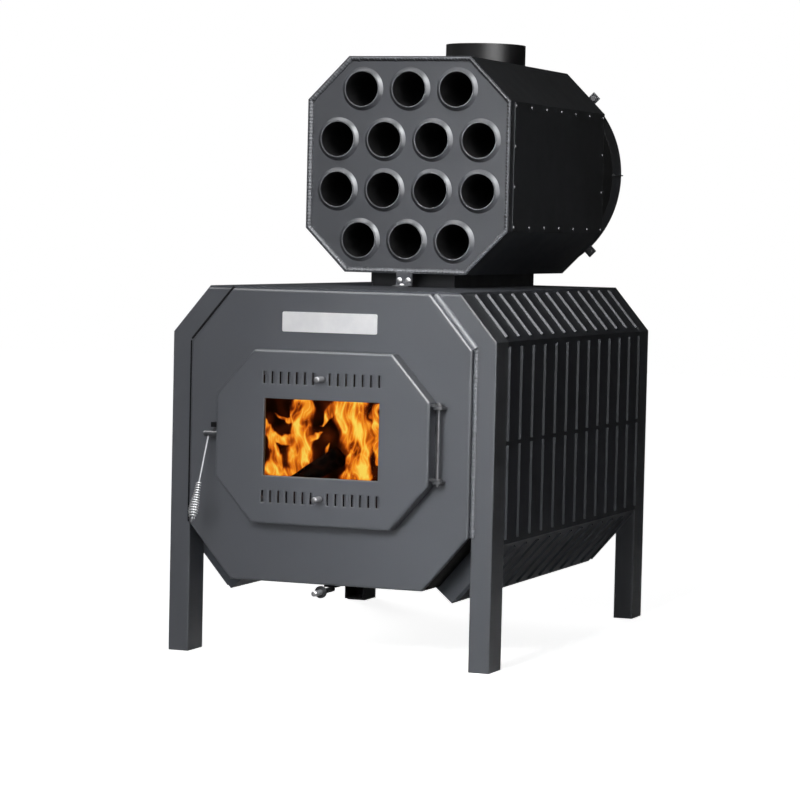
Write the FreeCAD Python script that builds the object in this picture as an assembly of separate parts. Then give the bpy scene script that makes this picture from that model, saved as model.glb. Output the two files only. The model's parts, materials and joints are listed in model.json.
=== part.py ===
import FreeCAD, Part
import math
import os

# Workshop stove: octagonal firebox on four legs, ribbed jacket, door with window and air slides,
# and a tube heat exchanger with a fan on a neck above it. Millimetres, front towards -Y, +Z up,
# origin on the floor below the middle of the leg frame.

V = FreeCAD.Vector

# Body: outline across the legs, corner chamfers and floor height
BODY_W = 800.0
BODY_D = 1200.0
TOP_Z = 860.0
CORNER_Z = 750.0
CORNER_RUN = 92.0
LOWER_RUN = 109.0
LOWER_RISE = 127.0
FIRE_BOTTOM = 179.0
LEG_W = 50.0
LEG_D = 80.0
LEG_WALL = 3.0
FOOT_T = 4.0
LEG_CLEAR = 3.0
TOP_T = 5.0
FIRE_WALL = 5.0
REAR_SETBACK = 14.0

# Front plate: a pan that stands proud of the leg frame
PLATE_PROUD = 16.0
PLATE_T = 5.0
PLATE_EDGE_R = 4.5
DOORWAY_INSET = 45.0

# Jacket: folded sheet with pressed beads
JACKET_T = 2.0
FLANGE_W = 48.0
BEAD_COUNT = 13
BEAD_W = 14.0
BEAD_CREST = 6.0
BEAD_H = 5.0
BEAD_MARGIN = 12.0
BEAD_TOP_MARGIN = 3.0
BEAD_BREAK = 10.0

# Lining, baffle and grate
BRICK_T = 30.0
BRICK_TOP = 700.0
BRICK_JOINT = 2.0
BRICK_COLUMNS = 5
BAFFLE_T = 8.0
BAFFLE_FRONT = -250.0
GRATE_W = 320.0
GRATE_L = 260.0
GRATE_T = 16.0
GRATE_Y = -375.0
GRATE_RIM = 20.0
GRATE_SLOTS = 9
GRATE_SLOT_W = 14.0

# Bottom air slide and inlet box
AIR_X = 10.0
ROD_D = 12.0
ROD_OUT = 60.0
ROD_TRAVEL = 90.0
ROD_FLAT = 0.6
ROD_CHAMFER = 3.0
ROD_LAP = 20.0
AIR_HOLE_D = 80.0
DAMPER_W = 130.0
DAMPER_L = 110.0
DAMPER_T = 5.0
TONGUE_W = 30.0
TONGUE_UNDER = 6.0
RAIL_W = 12.0
RAIL_LIP = 4.0
AIR_DISC_D = 28.0
AIR_DISC_T = 6.0
AIR_KNOB_D = 13.0
AIR_KNOB_L = 40.0
DUCT_X = 68.0
DUCT_W = 46.0
DUCT_H = 29.0
DUCT_L = 70.0
DUCT_WALL = 2.5
DUCT_LIP = 23.0

# Door: octagonal pan with a window and two rows of air slots
DOOR_W = 526.0
DOOR_H = 400.0
DOOR_RUN = 93.0
DOOR_RISE = 105.0
DOOR_DEPTH = 38.0
DOOR_GAP = 2.0
DOOR_T = 3.0
DOOR_EDGE_R = 5.0
WINDOW_W = 284.0
WINDOW_H = 178.0
GLASS_LAP = 16.0
GLASS_T = 4.0
RETAINER_T = 3.0
RETAINER_CLEAR = 2.0
GASKET_W = 14.0
GASKET_CLEAR = 0.3
SLOT_ROW_Z = 137.0
SLOT_COUNT = 7
SLOT_PITCH = 20.2
SLOT_FIRST = 20.5
SLOT_W = 8.0
SLOT_H = 28.0
SLIDE_T = 3.0
SLIDE_EDGE = 5.0
SLIDE_END = 14.0
SLIDE_CLEAR = 0.4
SLIDE_TRAVEL = 10.0
GUIDE_W = 3.0
GUIDE_LAP = 3.0
KNOB_D = 14.0
KNOB_L = 35.0
KNOB_STEM_D = 8.0
KNOB_STAND = 1.0

# Door hinge
HINGE_OUT = 15.0
HINGE_BACK = 22.0
HINGE_PIN_D = 8.0
HINGE_FIT = 0.05
LUG_R = 12.0
LUG_T = 6.0
LUG_GAP = 0.4
LUG_SPREAD = 84.0
PIN_TAIL = 6.0
PIN_HEAD_D = 13.0
PIN_HEAD_T = 3.5

# Latch: hub on a side pin, nose behind a keeper, leaning rod with a coil-spring grip
LATCH_PIN_D = 8.0
LATCH_FIT = 0.05
HUB_D = 15.0
HUB_L = 32.0
HUB_GAP = 2.0
LATCH_HEAD_T = 3.0
LATCH_HEAD_D = 12.0
NOSE_CLEAR = 1.0
NOSE_TIP_R = 3.5
NOSE_ANGLE = 35.0
NOSE_W = 12.0
NOSE_IN = 5.0
KEEPER_T = 4.0
KEEPER_CLEAR = 2.0
KEEPER_AHEAD = 3.0
HANDLE_X_OUT = 26.0
HANDLE_LEAN = 24.0
HANDLE_ROD_D = 6.0
HANDLE_BARE = 119.0
GRIP_L = 92.0
GRIP_TURNS = 14
GRIP_WIRE_D = 3.2
GRIP_CLEAR = 0.45
GRIP_BULGE = 5.6
GRIP_SKEW = 2.2
GRIP_END_R = 6.5
GRIP_END_L = 7.0

# Plain name plate above the door
BADGE_W = 234.0
BADGE_H = 46.0
BADGE_T = 3.0
BADGE_Z = 782.0
BADGE_CORNER_R = 4.0

# Neck and front bracket between firebox and exchanger
NECK_W = 218.0
NECK_FRONT = -90.0
NECK_L = 605.0
NECK_H = 33.0
NECK_WALL = 4.0
BRACKET_W = 40.0
BRACKET_T = 4.0
BRACKET_FOOT = 26.0
BRACKET_LAP = 3.0
BOLT_D = 8.0
BOLT_HEAD_AF = 13.0
BOLT_HEAD_T = 5.3
BOLT_SPACING = 23.0

# Heat exchanger
EX_EDGE = 34.8
EX_RUN = 106.0
EX_FRONT = -146.0
EX_L = 751.0
EX_WALL = 3.0
TUBE_PLATE_T = 6.0
TUBE_PLATE_RECESS = 8.0
PLENUM_L = 44.0
TUBE_D = 88.9
TUBE_WALL = 2.2
TUBE_PITCH = 122.5
TUBE_ROWS = (3, 4, 4, 3)
TUBE_PROUD = 9.0
TUBE_FIT = 0.1
WELD_LEG = 8.5
WELD_H = 7.5
WELD_TIP = 0.8
SMOKE_BAFFLE_T = 4.0
SMOKE_BAFFLE_FRONT = 40.0
COVER_T = 2.0
COVER_INSET = 3.0
COVER_FRONT = 28.0
COVER_REAR = 7.0
RIVETS_PER_ROW = 7
RIVETS_PER_COLUMN = 4
RIVET_INSET = 8.0
RIVET_D = 9.0
RIVET_H = 2.5
FLUE_D = 206.0
FLUE_WALL = 3.0
FLUE_Y = 405.0
FLUE_H = 61.0

# Rear fan: mounting plate, drum, flared ring with ears, guard, motor and impeller
FAN_PLATE_T = 4.0
DRUM_INSET = 2.0
DRUM_WALL = 2.0
DRUM_L = 91.0
FAN_LAND = 4.0
RING_FLARE = 9.0
RING_L = 48.0
RING_WALL = 3.0
SEAM_T = 3.0
SEAM_OUT = 5.0
EAR_T = 5.0
EAR_W = 24.0
EAR_OUT = 37.0
EAR_BOLT_OUT = 25.0
GUARD_WIRE = 4.0
GUARD_RINGS = 6
GUARD_SPOKES = 8
GUARD_DISC_D = 150.0
GUARD_DISC_T = 3.0
GUARD_INSET = 3.0
MOTOR_D = 120.0
MOTOR_L = 42.0
GLAND_D = 18.0
GLAND_L = 14.0
SHAFT_D = 12.0
SHAFT_FIT = 0.05
SHAFT_IN = 30.0
FAN_HUB_D = 150.0
FAN_HUB_L = 46.0
FAN_HUB_GAP = 3.0
FAN_TIP_GAP = 14.0
FAN_BLADES = 6
FAN_BLADE_T = 3.0
FAN_ROOT_ANGLE = 42.0
FAN_TIP_ANGLE = 24.0
FAN_ROOT_CHORD = 62.0
FAN_TIP_CHORD = 110.0


# Geometry helpers
def box(x0, x1, y0, y1, z0, z1):
    return Part.makeBox(x1 - x0, y1 - y0, z1 - z0, V(x0, y0, z0))


def cyl_x(y, z, r, x0, x1):
    return Part.makeCylinder(r, x1 - x0, V(x0, y, z), V(1, 0, 0))


def cyl_y(x, z, r, y0, y1):
    return Part.makeCylinder(r, y1 - y0, V(x, y0, z), V(0, 1, 0))


def cyl_z(x, y, r, z0, z1):
    return Part.makeCylinder(r, z1 - z0, V(x, y, z0), V(0, 0, 1))


def prism_y(points, y0, y1):
    """Extrude an outline of (x, z) points along Y."""
    ring = [V(x, y0, z) for x, z in points]
    return Part.Face(Part.makePolygon(ring + ring[:1])).extrude(V(0, y1 - y0, 0))


def prism_x(points, x0, x1):
    """Extrude an outline of (y, z) points along X."""
    ring = [V(x0, y, z) for y, z in points]
    return Part.Face(Part.makePolygon(ring + ring[:1])).extrude(V(x1 - x0, 0, 0))


def octagon(half, low, high, run_low, rise_low, run_high, rise_high):
    """Symmetric octagon, counter-clockwise from the right end of its bottom edge."""
    right = [
        (half - run_low, low),
        (half, low + rise_low),
        (half, high - rise_high),
        (half - run_high, high),
    ]
    left = [(-x, z) for x, z in reversed(right)]
    return right + left


def inset(points, depth):
    """Move every edge of a counter-clockwise outline inwards by depth."""
    result = []
    count = len(points)
    for i in range(count):
        before = points[i - 1]
        here = points[i]
        after = points[(i + 1) % count]
        n1 = left_normal(before, here)
        n2 = left_normal(here, after)
        share = depth / (1.0 + n1[0] * n2[0] + n1[1] * n2[1])
        result.append((here[0] + share * (n1[0] + n2[0]), here[1] + share * (n1[1] + n2[1])))
    return result


def left_normal(a, b):
    length = math.hypot(b[0] - a[0], b[1] - a[1])
    return (-(b[1] - a[1]) / length, (b[0] - a[0]) / length)


def at_height(a, b, z):
    """Point at height z on the line through a and b."""
    share = (z - a[1]) / (b[1] - a[1])
    return (a[0] + share * (b[0] - a[0]), z)


def spread(low, high, count):
    return [low + (high - low) * i / (count - 1) for i in range(count)]


def mirror_x(shape):
    return shape.mirror(V(0, 0, 0), V(1, 0, 0))


def mirror_y(shape):
    return shape.mirror(V(0, 0, 0), V(0, 1, 0))


def hexagon(centre, normal, across_flats):
    """Hexagonal face square to normal."""
    circle = Part.makeCircle(across_flats / math.sqrt(3.0), centre, normal)
    corners = circle.discretize(Number=7)
    return Part.Face(Part.makePolygon(corners[:6] + corners[:1]))


def hex_bolt(seat, outward, grip):
    """Bolt with its head on seat, pointing outward, and a shank of length grip behind it."""
    head = hexagon(seat, outward, BOLT_HEAD_AF).extrude(outward * BOLT_HEAD_T)
    shank = Part.makeCylinder(BOLT_D / 2.0, grip, seat, outward * -1.0)
    return head.fuse(shank).removeSplitter()


def round_front(shape, y, radius):
    """Round the outer front edges that lie at depth y."""
    edges = []
    for edge in shape.Edges:
        if all(abs(vertex.Point.y - y) < 1e-6 for vertex in edge.Vertexes):
            edges.append(edge)
    return shape.makeFillet(radius, edges)


os.makedirs("parts", exist_ok=True)


def save(name, shape):
    shape.exportStep("parts/%s.step" % name)


# Shared places
SHELL_GAP = LEG_W + LEG_CLEAR
BODY_HALF = BODY_W / 2.0
FRAME_Y = BODY_D / 2.0
INNER_Y = FRAME_Y - LEG_D
FIRE_HALF = BODY_HALF - SHELL_GAP
FIRE_TOP = TOP_Z - TOP_T

CORNER_LOW = (BODY_HALF, CORNER_Z)
CORNER_HIGH = (BODY_HALF - CORNER_RUN, TOP_Z)
CHAMFER_N = left_normal(CORNER_LOW, CORNER_HIGH)


def chamfer_line(depth):
    """Two points of the upper corner chamfer, moved inwards by depth."""
    return [(p[0] + depth * CHAMFER_N[0], p[1] + depth * CHAMFER_N[1]) for p in (CORNER_LOW, CORNER_HIGH)]


def chamfer_at_x(depth, x):
    a, b = chamfer_line(depth)
    share = (x - a[0]) / (b[0] - a[0])
    return (x, a[1] + share * (b[1] - a[1]))


FIRE_CORNER = chamfer_at_x(SHELL_GAP, FIRE_HALF)
FIRE_SHOULDER = at_height(*chamfer_line(SHELL_GAP), FIRE_TOP)
FIRE_OUTLINE = octagon(
    FIRE_HALF,
    FIRE_BOTTOM,
    FIRE_TOP,
    LOWER_RUN,
    LOWER_RISE,
    FIRE_HALF - FIRE_SHOULDER[0],
    FIRE_TOP - FIRE_CORNER[1],
)
FIRE_REAR = FRAME_Y - REAR_SETBACK - PLATE_T

PLATE_FRONT = -FRAME_Y - PLATE_PROUD
DOOR_BACK = PLATE_FRONT - DOOR_GAP
DOOR_FRONT = DOOR_BACK - DOOR_DEPTH
DOOR_INSIDE = DOOR_FRONT + DOOR_T
DOOR_Z = (FIRE_TOP + FIRE_BOTTOM) / 2.0
DOOR_HALF = DOOR_W / 2.0
DOOR_OUTLINE = octagon(
    DOOR_HALF,
    DOOR_Z - DOOR_H / 2.0,
    DOOR_Z + DOOR_H / 2.0,
    DOOR_RUN,
    DOOR_RISE,
    DOOR_RUN,
    DOOR_RISE,
)

NECK_BACK = NECK_FRONT + NECK_L
NECK_HALF = NECK_W / 2.0
EX_W = (max(TUBE_ROWS) - 1) * TUBE_PITCH + TUBE_D + 2.0 * EX_EDGE
EX_HALF = EX_W / 2.0
EX_BOTTOM = TOP_Z + NECK_H
EX_Z = EX_BOTTOM + EX_HALF
EX_REAR = EX_FRONT + EX_L
EX_OUTLINE = octagon(EX_HALF, EX_BOTTOM, EX_BOTTOM + EX_W, EX_RUN, EX_RUN, EX_RUN, EX_RUN)
FRONT_PLATE_Y = EX_FRONT + TUBE_PLATE_RECESS
REAR_PLATE_Y = EX_REAR - PLENUM_L
TUBE_R = TUBE_D / 2.0


def tube_centres(row):
    """(x, z) centres of one row of heat tubes, counted from the top."""
    count = TUBE_ROWS[row]
    z = EX_Z + ((len(TUBE_ROWS) - 1) / 2.0 - row) * TUBE_PITCH
    return [((i - (count - 1) / 2.0) * TUBE_PITCH, z) for i in range(count)]


# Legs: rectangular tube, mitred at the corner and running up to the top plate
def leg():
    """Front right leg."""
    inner_corner = chamfer_at_x(LEG_W, BODY_HALF - LEG_W)
    outline = [
        (BODY_HALF, 0.0),
        CORNER_LOW,
        at_height(*chamfer_line(0.0), FIRE_TOP),
        at_height(*chamfer_line(LEG_W), FIRE_TOP),
        inner_corner,
        (BODY_HALF - LEG_W, 0.0),
    ]
    core_outer = chamfer_at_x(LEG_WALL, BODY_HALF - LEG_WALL)
    core_inner = chamfer_at_x(LEG_W - LEG_WALL, BODY_HALF - LEG_W + LEG_WALL)
    core = [
        (BODY_HALF - LEG_WALL, FOOT_T),
        core_outer,
        at_height(*chamfer_line(LEG_WALL), FIRE_TOP),
        at_height(*chamfer_line(LEG_W - LEG_WALL), FIRE_TOP),
        core_inner,
        (BODY_HALF - LEG_W + LEG_WALL, FOOT_T),
    ]
    tube = prism_y(outline, -FRAME_Y, -INNER_Y)
    return tube.cut(prism_y(core, -FRAME_Y + LEG_WALL, -INNER_Y - LEG_WALL))


front_right = leg()
front_left = mirror_x(front_right)
save("leg_front_right", front_right)
save("leg_front_left", front_left)
save("leg_rear_right", mirror_y(front_right))
save("leg_rear_left", mirror_y(front_left))


# Firebox: octagonal tube with openings for the neck, the inlet box and the bottom air hole
def neck_way(z0, z1):
    return box(
        -NECK_HALF + NECK_WALL,
        NECK_HALF - NECK_WALL,
        NECK_FRONT + NECK_WALL,
        NECK_BACK - NECK_WALL,
        z0,
        z1,
    )


DUCT_FRONT = -FRAME_Y
DUCT_BACK = DUCT_FRONT + DUCT_L
FLOOR_TOP = FIRE_BOTTOM + FIRE_WALL


def firebox_shell():
    tube = prism_y(FIRE_OUTLINE, -FRAME_Y, FIRE_REAR)
    tube = tube.cut(prism_y(inset(FIRE_OUTLINE, FIRE_WALL), -FRAME_Y, FIRE_REAR))
    inlet = box(
        DUCT_X - DUCT_W / 2.0 + DUCT_WALL,
        DUCT_X + DUCT_W / 2.0 - DUCT_WALL,
        DUCT_FRONT + DUCT_LIP,
        DUCT_BACK - DUCT_WALL,
        FIRE_BOTTOM,
        FLOOR_TOP,
    )
    air_hole = cyl_z(AIR_X, GRATE_Y, AIR_HOLE_D / 2.0, FIRE_BOTTOM, FLOOR_TOP)
    return tube.cut([neck_way(FIRE_TOP - FIRE_WALL, FIRE_TOP), inlet, air_hole])


save("firebox_shell", firebox_shell())
save("rear_plate", prism_y(FIRE_OUTLINE, FIRE_REAR, FIRE_REAR + PLATE_T))


def front_plate():
    pan = round_front(prism_y(FIRE_OUTLINE, PLATE_FRONT, -FRAME_Y), PLATE_FRONT, PLATE_EDGE_R)
    hollow = prism_y(inset(FIRE_OUTLINE, PLATE_T), PLATE_FRONT + PLATE_T, -FRAME_Y)
    doorway = prism_y(inset(DOOR_OUTLINE, DOORWAY_INSET), PLATE_FRONT, PLATE_FRONT + PLATE_T)
    return pan.cut([hollow, doorway])


save("front_plate", front_plate())

# Top plate over the firebox, jacket and legs
SHOULDER_X = CORNER_HIGH[0]
top_edge = at_height(*chamfer_line(0.0), FIRE_TOP)
top_outline = [
    (top_edge[0], FIRE_TOP),
    (SHOULDER_X, TOP_Z),
    (-SHOULDER_X, TOP_Z),
    (-top_edge[0], FIRE_TOP),
]
top_plate = prism_y(top_outline, -FRAME_Y, FRAME_Y).cut(neck_way(FIRE_TOP, TOP_Z))
save("top_plate", top_plate)


# Jacket: one folded sheet a side, with end flanges, a bottom lip and rows of pressed beads
def jacket_line():
    """Outer line of the right jacket, from its bottom corner up to the top plate."""
    corner = FIRE_OUTLINE[0]
    outward = left_normal(FIRE_OUTLINE[1], FIRE_OUTLINE[0])
    foot = (corner[0] + SHELL_GAP * outward[0], corner[1] + SHELL_GAP * outward[1])
    slope = (FIRE_OUTLINE[1][0] - corner[0], FIRE_OUTLINE[1][1] - corner[1])
    rise = (BODY_HALF - foot[0]) / slope[0]
    fold = (BODY_HALF, foot[1] + rise * slope[1])
    return [foot, fold, CORNER_LOW, at_height(*chamfer_line(0.0), FIRE_TOP)]


def inner_line(line, depth):
    """The jacket's line moved inwards by depth, with its ends kept square or level."""
    normals = [left_normal(a, b) for a, b in zip(line, line[1:])]
    first = (line[0][0] + depth * normals[0][0], line[0][1] + depth * normals[0][1])
    result = [first]
    for i in (1, 2):
        n1 = normals[i - 1]
        n2 = normals[i]
        share = depth / (1.0 + n1[0] * n2[0] + n1[1] * n2[1])
        result.append((line[i][0] + share * (n1[0] + n2[0]), line[i][1] + share * (n1[1] + n2[1])))
    result.append(at_height(*chamfer_line(depth), FIRE_TOP))
    return result


def bead(start, end, normal, y, base, crest, height):
    """Trapezoid ridge along start to end, standing on the sheet along normal at depth y."""
    offsets = ((-base / 2.0, 0.0), (base / 2.0, 0.0), (crest / 2.0, height), (-crest / 2.0, height))
    ring = [V(start[0] + h * normal[0], y + w, start[1] + h * normal[1]) for w, h in offsets]
    face = Part.Face(Part.makePolygon(ring + ring[:1]))
    return face.extrude(V(end[0] - start[0], 0, end[1] - start[1]))


def bead_runs(line):
    """Start, end and outward normal of each row of beads, short of the folds."""
    runs = []
    for a, b in zip(line, line[1:]):
        length = math.hypot(b[0] - a[0], b[1] - a[1])
        along = ((b[0] - a[0]) / length, (b[1] - a[1]) / length)
        normal = left_normal(b, a)
        spans = [(BEAD_MARGIN, length - BEAD_MARGIN)]
        if b == line[-1]:
            spans = [(BEAD_MARGIN, length - BEAD_TOP_MARGIN)]
        if a[0] == b[0]:
            half = length / 2.0
            spans = [
                (BEAD_MARGIN, half - BEAD_BREAK / 2.0),
                (half + BEAD_BREAK / 2.0, length - BEAD_MARGIN),
            ]
        for low, high in spans:
            start = (a[0] + low * along[0], a[1] + low * along[1])
            end = (a[0] + high * along[0], a[1] + high * along[1])
            runs.append((start, end, normal))
    return runs


def jacket():
    """Right jacket."""
    line = jacket_line()
    inside = inner_line(line, JACKET_T)
    sheet = prism_y(line + inside[::-1], -INNER_Y, INNER_Y)
    corner = FIRE_OUTLINE[0]
    lip_in = (line[0][0] - corner[0], line[0][1] - corner[1])
    length = math.hypot(*lip_in)
    side = (-lip_in[1] / length * JACKET_T, lip_in[0] / length * JACKET_T)
    lip = [
        corner,
        line[0],
        (line[0][0] + side[0], line[0][1] + side[1]),
        (corner[0] + side[0], corner[1] + side[1]),
    ]
    solids = [prism_y(lip, -INNER_Y, INNER_Y)]
    flange = inside + inner_line(line, FLANGE_W)[::-1]
    solids.append(prism_y(flange, -INNER_Y, -INNER_Y + JACKET_T))
    solids.append(prism_y(flange, INNER_Y - JACKET_T, INNER_Y))
    grooves = []
    crest_in = BEAD_CREST / 2.0
    base_in = BEAD_W - 2.0 * JACKET_T
    last_y = INNER_Y - JACKET_T - BEAD_W / 2.0
    for start, end, normal in bead_runs(line):
        back = (start[0] - JACKET_T * normal[0], start[1] - JACKET_T * normal[1])
        back_end = (end[0] - JACKET_T * normal[0], end[1] - JACKET_T * normal[1])
        for y in spread(-last_y, last_y, BEAD_COUNT):
            solids.append(bead(start, end, normal, y, BEAD_W, BEAD_CREST, BEAD_H))
            grooves.append(bead(back, back_end, normal, y, base_in, crest_in, BEAD_H))
    return sheet.fuse(solids).cut(grooves).removeSplitter()


right_jacket = jacket()
save("jacket_right", right_jacket)
save("jacket_left", mirror_x(right_jacket))

# Firebrick lining: two courses a side, standing on the lower corner and carrying the baffle
brick_back = inset(FIRE_OUTLINE, FIRE_WALL)
brick_face = inset(FIRE_OUTLINE, FIRE_WALL + BRICK_T)
lower_course = [brick_back[0], brick_back[1], brick_face[1], brick_face[0]]
upper_course = [
    brick_back[1],
    (brick_back[1][0], BRICK_TOP),
    (brick_face[1][0], BRICK_TOP),
    brick_face[1],
]
lining_front = -FRAME_Y + BRICK_T
brick_step = (FIRE_REAR - lining_front) / BRICK_COLUMNS
bricks = []
for column in range(BRICK_COLUMNS):
    y0 = lining_front + column * brick_step
    for course in (lower_course, upper_course):
        brick = prism_y(course, y0, y0 + brick_step - BRICK_JOINT)
        bricks.append(brick)
        bricks.append(mirror_x(brick))
save("firebrick_lining", Part.makeCompound(bricks))

baffle_half = brick_back[1][0]
baffle = box(-baffle_half, baffle_half, BAFFLE_FRONT, FIRE_REAR, BRICK_TOP, BRICK_TOP + BAFFLE_T)
save("baffle_plate", baffle)


def fire_grate():
    y0 = GRATE_Y - GRATE_L / 2.0
    grate = box(
        AIR_X - GRATE_W / 2.0,
        AIR_X + GRATE_W / 2.0,
        y0,
        y0 + GRATE_L,
        FLOOR_TOP,
        FLOOR_TOP + GRATE_T,
    )
    pitch = (GRATE_W - 2.0 * GRATE_RIM) / GRATE_SLOTS
    slots = []
    for i in range(GRATE_SLOTS):
        x = AIR_X + (i - (GRATE_SLOTS - 1) / 2.0) * pitch
        slots.append(
            box(
                x - GRATE_SLOT_W / 2.0,
                x + GRATE_SLOT_W / 2.0,
                y0 + GRATE_RIM,
                y0 + GRATE_L - GRATE_RIM,
                FLOOR_TOP,
                FLOOR_TOP + GRATE_T,
            )
        )
    return grate.cut(slots)


save("fire_grate", fire_grate())

# Bottom air: inlet box, sliding damper with a tongue in rails, pull rod under the tongue
DAMPER_TOP = FIRE_BOTTOM - SLIDE_CLEAR
DAMPER_LOW = DAMPER_TOP - DAMPER_T
DAMPER_FRONT = GRATE_Y - DAMPER_L / 2.0
TONGUE_FRONT = -FRAME_Y - TONGUE_UNDER
ROD_Z = DAMPER_LOW - ROD_D / 2.0 + ROD_FLAT
ROD_BACK = TONGUE_FRONT + ROD_LAP


def air_inlet_box():
    x0 = DUCT_X - DUCT_W / 2.0
    x1 = DUCT_X + DUCT_W / 2.0
    z0 = FIRE_BOTTOM - DUCT_H
    outer = box(x0, x1, DUCT_FRONT, DUCT_BACK, z0, FIRE_BOTTOM)
    hollow = box(
        x0 + DUCT_WALL,
        x1 - DUCT_WALL,
        DUCT_FRONT,
        DUCT_BACK - DUCT_WALL,
        z0 + DUCT_WALL,
        FIRE_BOTTOM,
    )
    return outer.cut(hollow)


save("air_inlet_box", air_inlet_box())


def damper_guides():
    """Two rails under the firebox floor."""
    rails = []
    low = DAMPER_LOW - SLIDE_CLEAR
    for side in (-1.0, 1.0):
        edge = AIR_X + side * (DAMPER_W / 2.0 + SLIDE_CLEAR)
        far = edge + side * RAIL_W
        lip = edge - side * RAIL_LIP
        y0 = DAMPER_FRONT - ROD_TRAVEL
        y1 = DAMPER_FRONT + DAMPER_L
        web = box(min(edge, far), max(edge, far), y0, y1, low - RAIL_LIP, FIRE_BOTTOM)
        foot = box(min(lip, edge), max(lip, edge), y0, y1, low - RAIL_LIP, low)
        rails.append(web.fuse(foot).removeSplitter())
    return Part.makeCompound(rails)


save("damper_guides", damper_guides())


def damper_strip(width, y0, y1):
    return box(AIR_X - width / 2.0, AIR_X + width / 2.0, y0, y1, DAMPER_LOW, DAMPER_TOP)


def air_damper():
    """Sliding plate with a tongue that reaches forward under the front plate's rim."""
    plate = damper_strip(DAMPER_W, DAMPER_FRONT, DAMPER_FRONT + DAMPER_L)
    return plate.fuse(damper_strip(TONGUE_W, TONGUE_FRONT, DAMPER_FRONT)).removeSplitter()


save("air_damper", air_damper())
ROD_FRONT = PLATE_FRONT - ROD_OUT + AIR_DISC_T + ROD_D


def air_rod():
    """Pull rod with a chamfered inner end and a flat on which the damper's tongue sits."""
    radius = ROD_D / 2.0
    straight = cyl_y(AIR_X, ROD_Z, radius, ROD_FRONT, ROD_BACK - ROD_CHAMFER)
    start = V(AIR_X, ROD_BACK - ROD_CHAMFER, ROD_Z)
    end = Part.makeCone(radius, radius - ROD_CHAMFER, ROD_CHAMFER, start, V(0, 1, 0))
    return straight.fuse(end).removeSplitter().cut(damper_strip(TONGUE_W, TONGUE_FRONT, ROD_BACK))


save("air_rod", air_rod())


def turned_knob(x, y, z, steps):
    """Body of revolution about Y, from depth y towards the front: (radius, distance) pairs."""
    profile = [V(x, y, z)]
    for radius, ahead in steps:
        profile.append(V(x, y - ahead, z + radius))
    profile.append(V(x, y - steps[-1][1], z))
    face = Part.Face(Part.makePolygon(profile + profile[:1]))
    return face.revolve(V(x, y, z), V(0, 1, 0), 360)


def pin_steps(start, diameter, length):
    """Straight pin with a rounded-off nose, as (radius, distance) pairs."""
    radius = diameter / 2.0
    return [
        (radius, start),
        (radius, start + length - 0.45 * radius),
        (0.75 * radius, start + length - 0.12 * radius),
        (0.35 * radius, start + length),
    ]


disc_r = AIR_DISC_D / 2.0
air_knob_steps = [(disc_r, 0.0), (disc_r, AIR_DISC_T)] + pin_steps(AIR_DISC_T, AIR_KNOB_D, AIR_KNOB_L)
save("air_knob", turned_knob(AIR_X, ROD_FRONT, ROD_Z, air_knob_steps))

# Door panel: folded pan with window, slots and knob slots
SLOT_LEVELS = {"upper": DOOR_Z + SLOT_ROW_Z, "lower": DOOR_Z - SLOT_ROW_Z}
SLOT_XS = []
for index in range(SLOT_COUNT):
    SLOT_XS.append(SLOT_FIRST + index * SLOT_PITCH)
    SLOT_XS.append(-SLOT_FIRST - index * SLOT_PITCH)


stem_r = KNOB_STEM_D / 2.0 + SLIDE_CLEAR
KNOB_REACH = SLIDE_TRAVEL / 2.0 + stem_r


def door_panel():
    pan = round_front(prism_y(DOOR_OUTLINE, DOOR_FRONT, DOOR_BACK), DOOR_FRONT, DOOR_EDGE_R)
    cuts = [prism_y(inset(DOOR_OUTLINE, DOOR_T), DOOR_INSIDE, DOOR_BACK)]
    half_w = WINDOW_W / 2.0
    half_h = WINDOW_H / 2.0
    cuts.append(box(-half_w, half_w, DOOR_FRONT, DOOR_INSIDE, DOOR_Z - half_h, DOOR_Z + half_h))
    for level in SLOT_LEVELS.values():
        for x in SLOT_XS:
            low = level - SLOT_H / 2.0
            cuts.append(
                box(x - SLOT_W / 2.0, x + SLOT_W / 2.0, DOOR_FRONT, DOOR_INSIDE, low, low + SLOT_H)
            )
        cuts.append(
            box(-KNOB_REACH, KNOB_REACH, DOOR_FRONT, DOOR_INSIDE, level - stem_r, level + stem_r)
        )
    return pan.cut(cuts)


save("door_panel", door_panel())

gasket_ring = inset(DOOR_OUTLINE, DOOR_T)
gasket_front = DOOR_BACK - GASKET_W
gasket = prism_y(gasket_ring, gasket_front, PLATE_FRONT - GASKET_CLEAR)
gasket = gasket.cut(prism_y(inset(gasket_ring, GASKET_W), gasket_front, PLATE_FRONT - GASKET_CLEAR))
save("door_gasket", gasket)

GLASS_HALF_W = WINDOW_W / 2.0 + GLASS_LAP
GLASS_HALF_H = WINDOW_H / 2.0 + GLASS_LAP
GLASS_BACK = DOOR_INSIDE + GLASS_T
glass = box(
    -GLASS_HALF_W,
    GLASS_HALF_W,
    DOOR_INSIDE,
    GLASS_BACK,
    DOOR_Z - GLASS_HALF_H,
    DOOR_Z + GLASS_HALF_H,
)
save("door_glass", glass)


def glass_retainer():
    pocket_w = GLASS_HALF_W + RETAINER_CLEAR
    pocket_h = GLASS_HALF_H + RETAINER_CLEAR
    outer_w = pocket_w + RETAINER_T
    outer_h = pocket_h + RETAINER_T
    tray = box(
        -outer_w,
        outer_w,
        DOOR_INSIDE,
        GLASS_BACK + RETAINER_T,
        DOOR_Z - outer_h,
        DOOR_Z + outer_h,
    )
    pocket = box(-pocket_w, pocket_w, DOOR_INSIDE, GLASS_BACK, DOOR_Z - pocket_h, DOOR_Z + pocket_h)
    window = box(
        -WINDOW_W / 2.0,
        WINDOW_W / 2.0,
        GLASS_BACK,
        GLASS_BACK + RETAINER_T,
        DOOR_Z - WINDOW_H / 2.0,
        DOOR_Z + WINDOW_H / 2.0,
    )
    return tray.cut([pocket, window])


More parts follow.
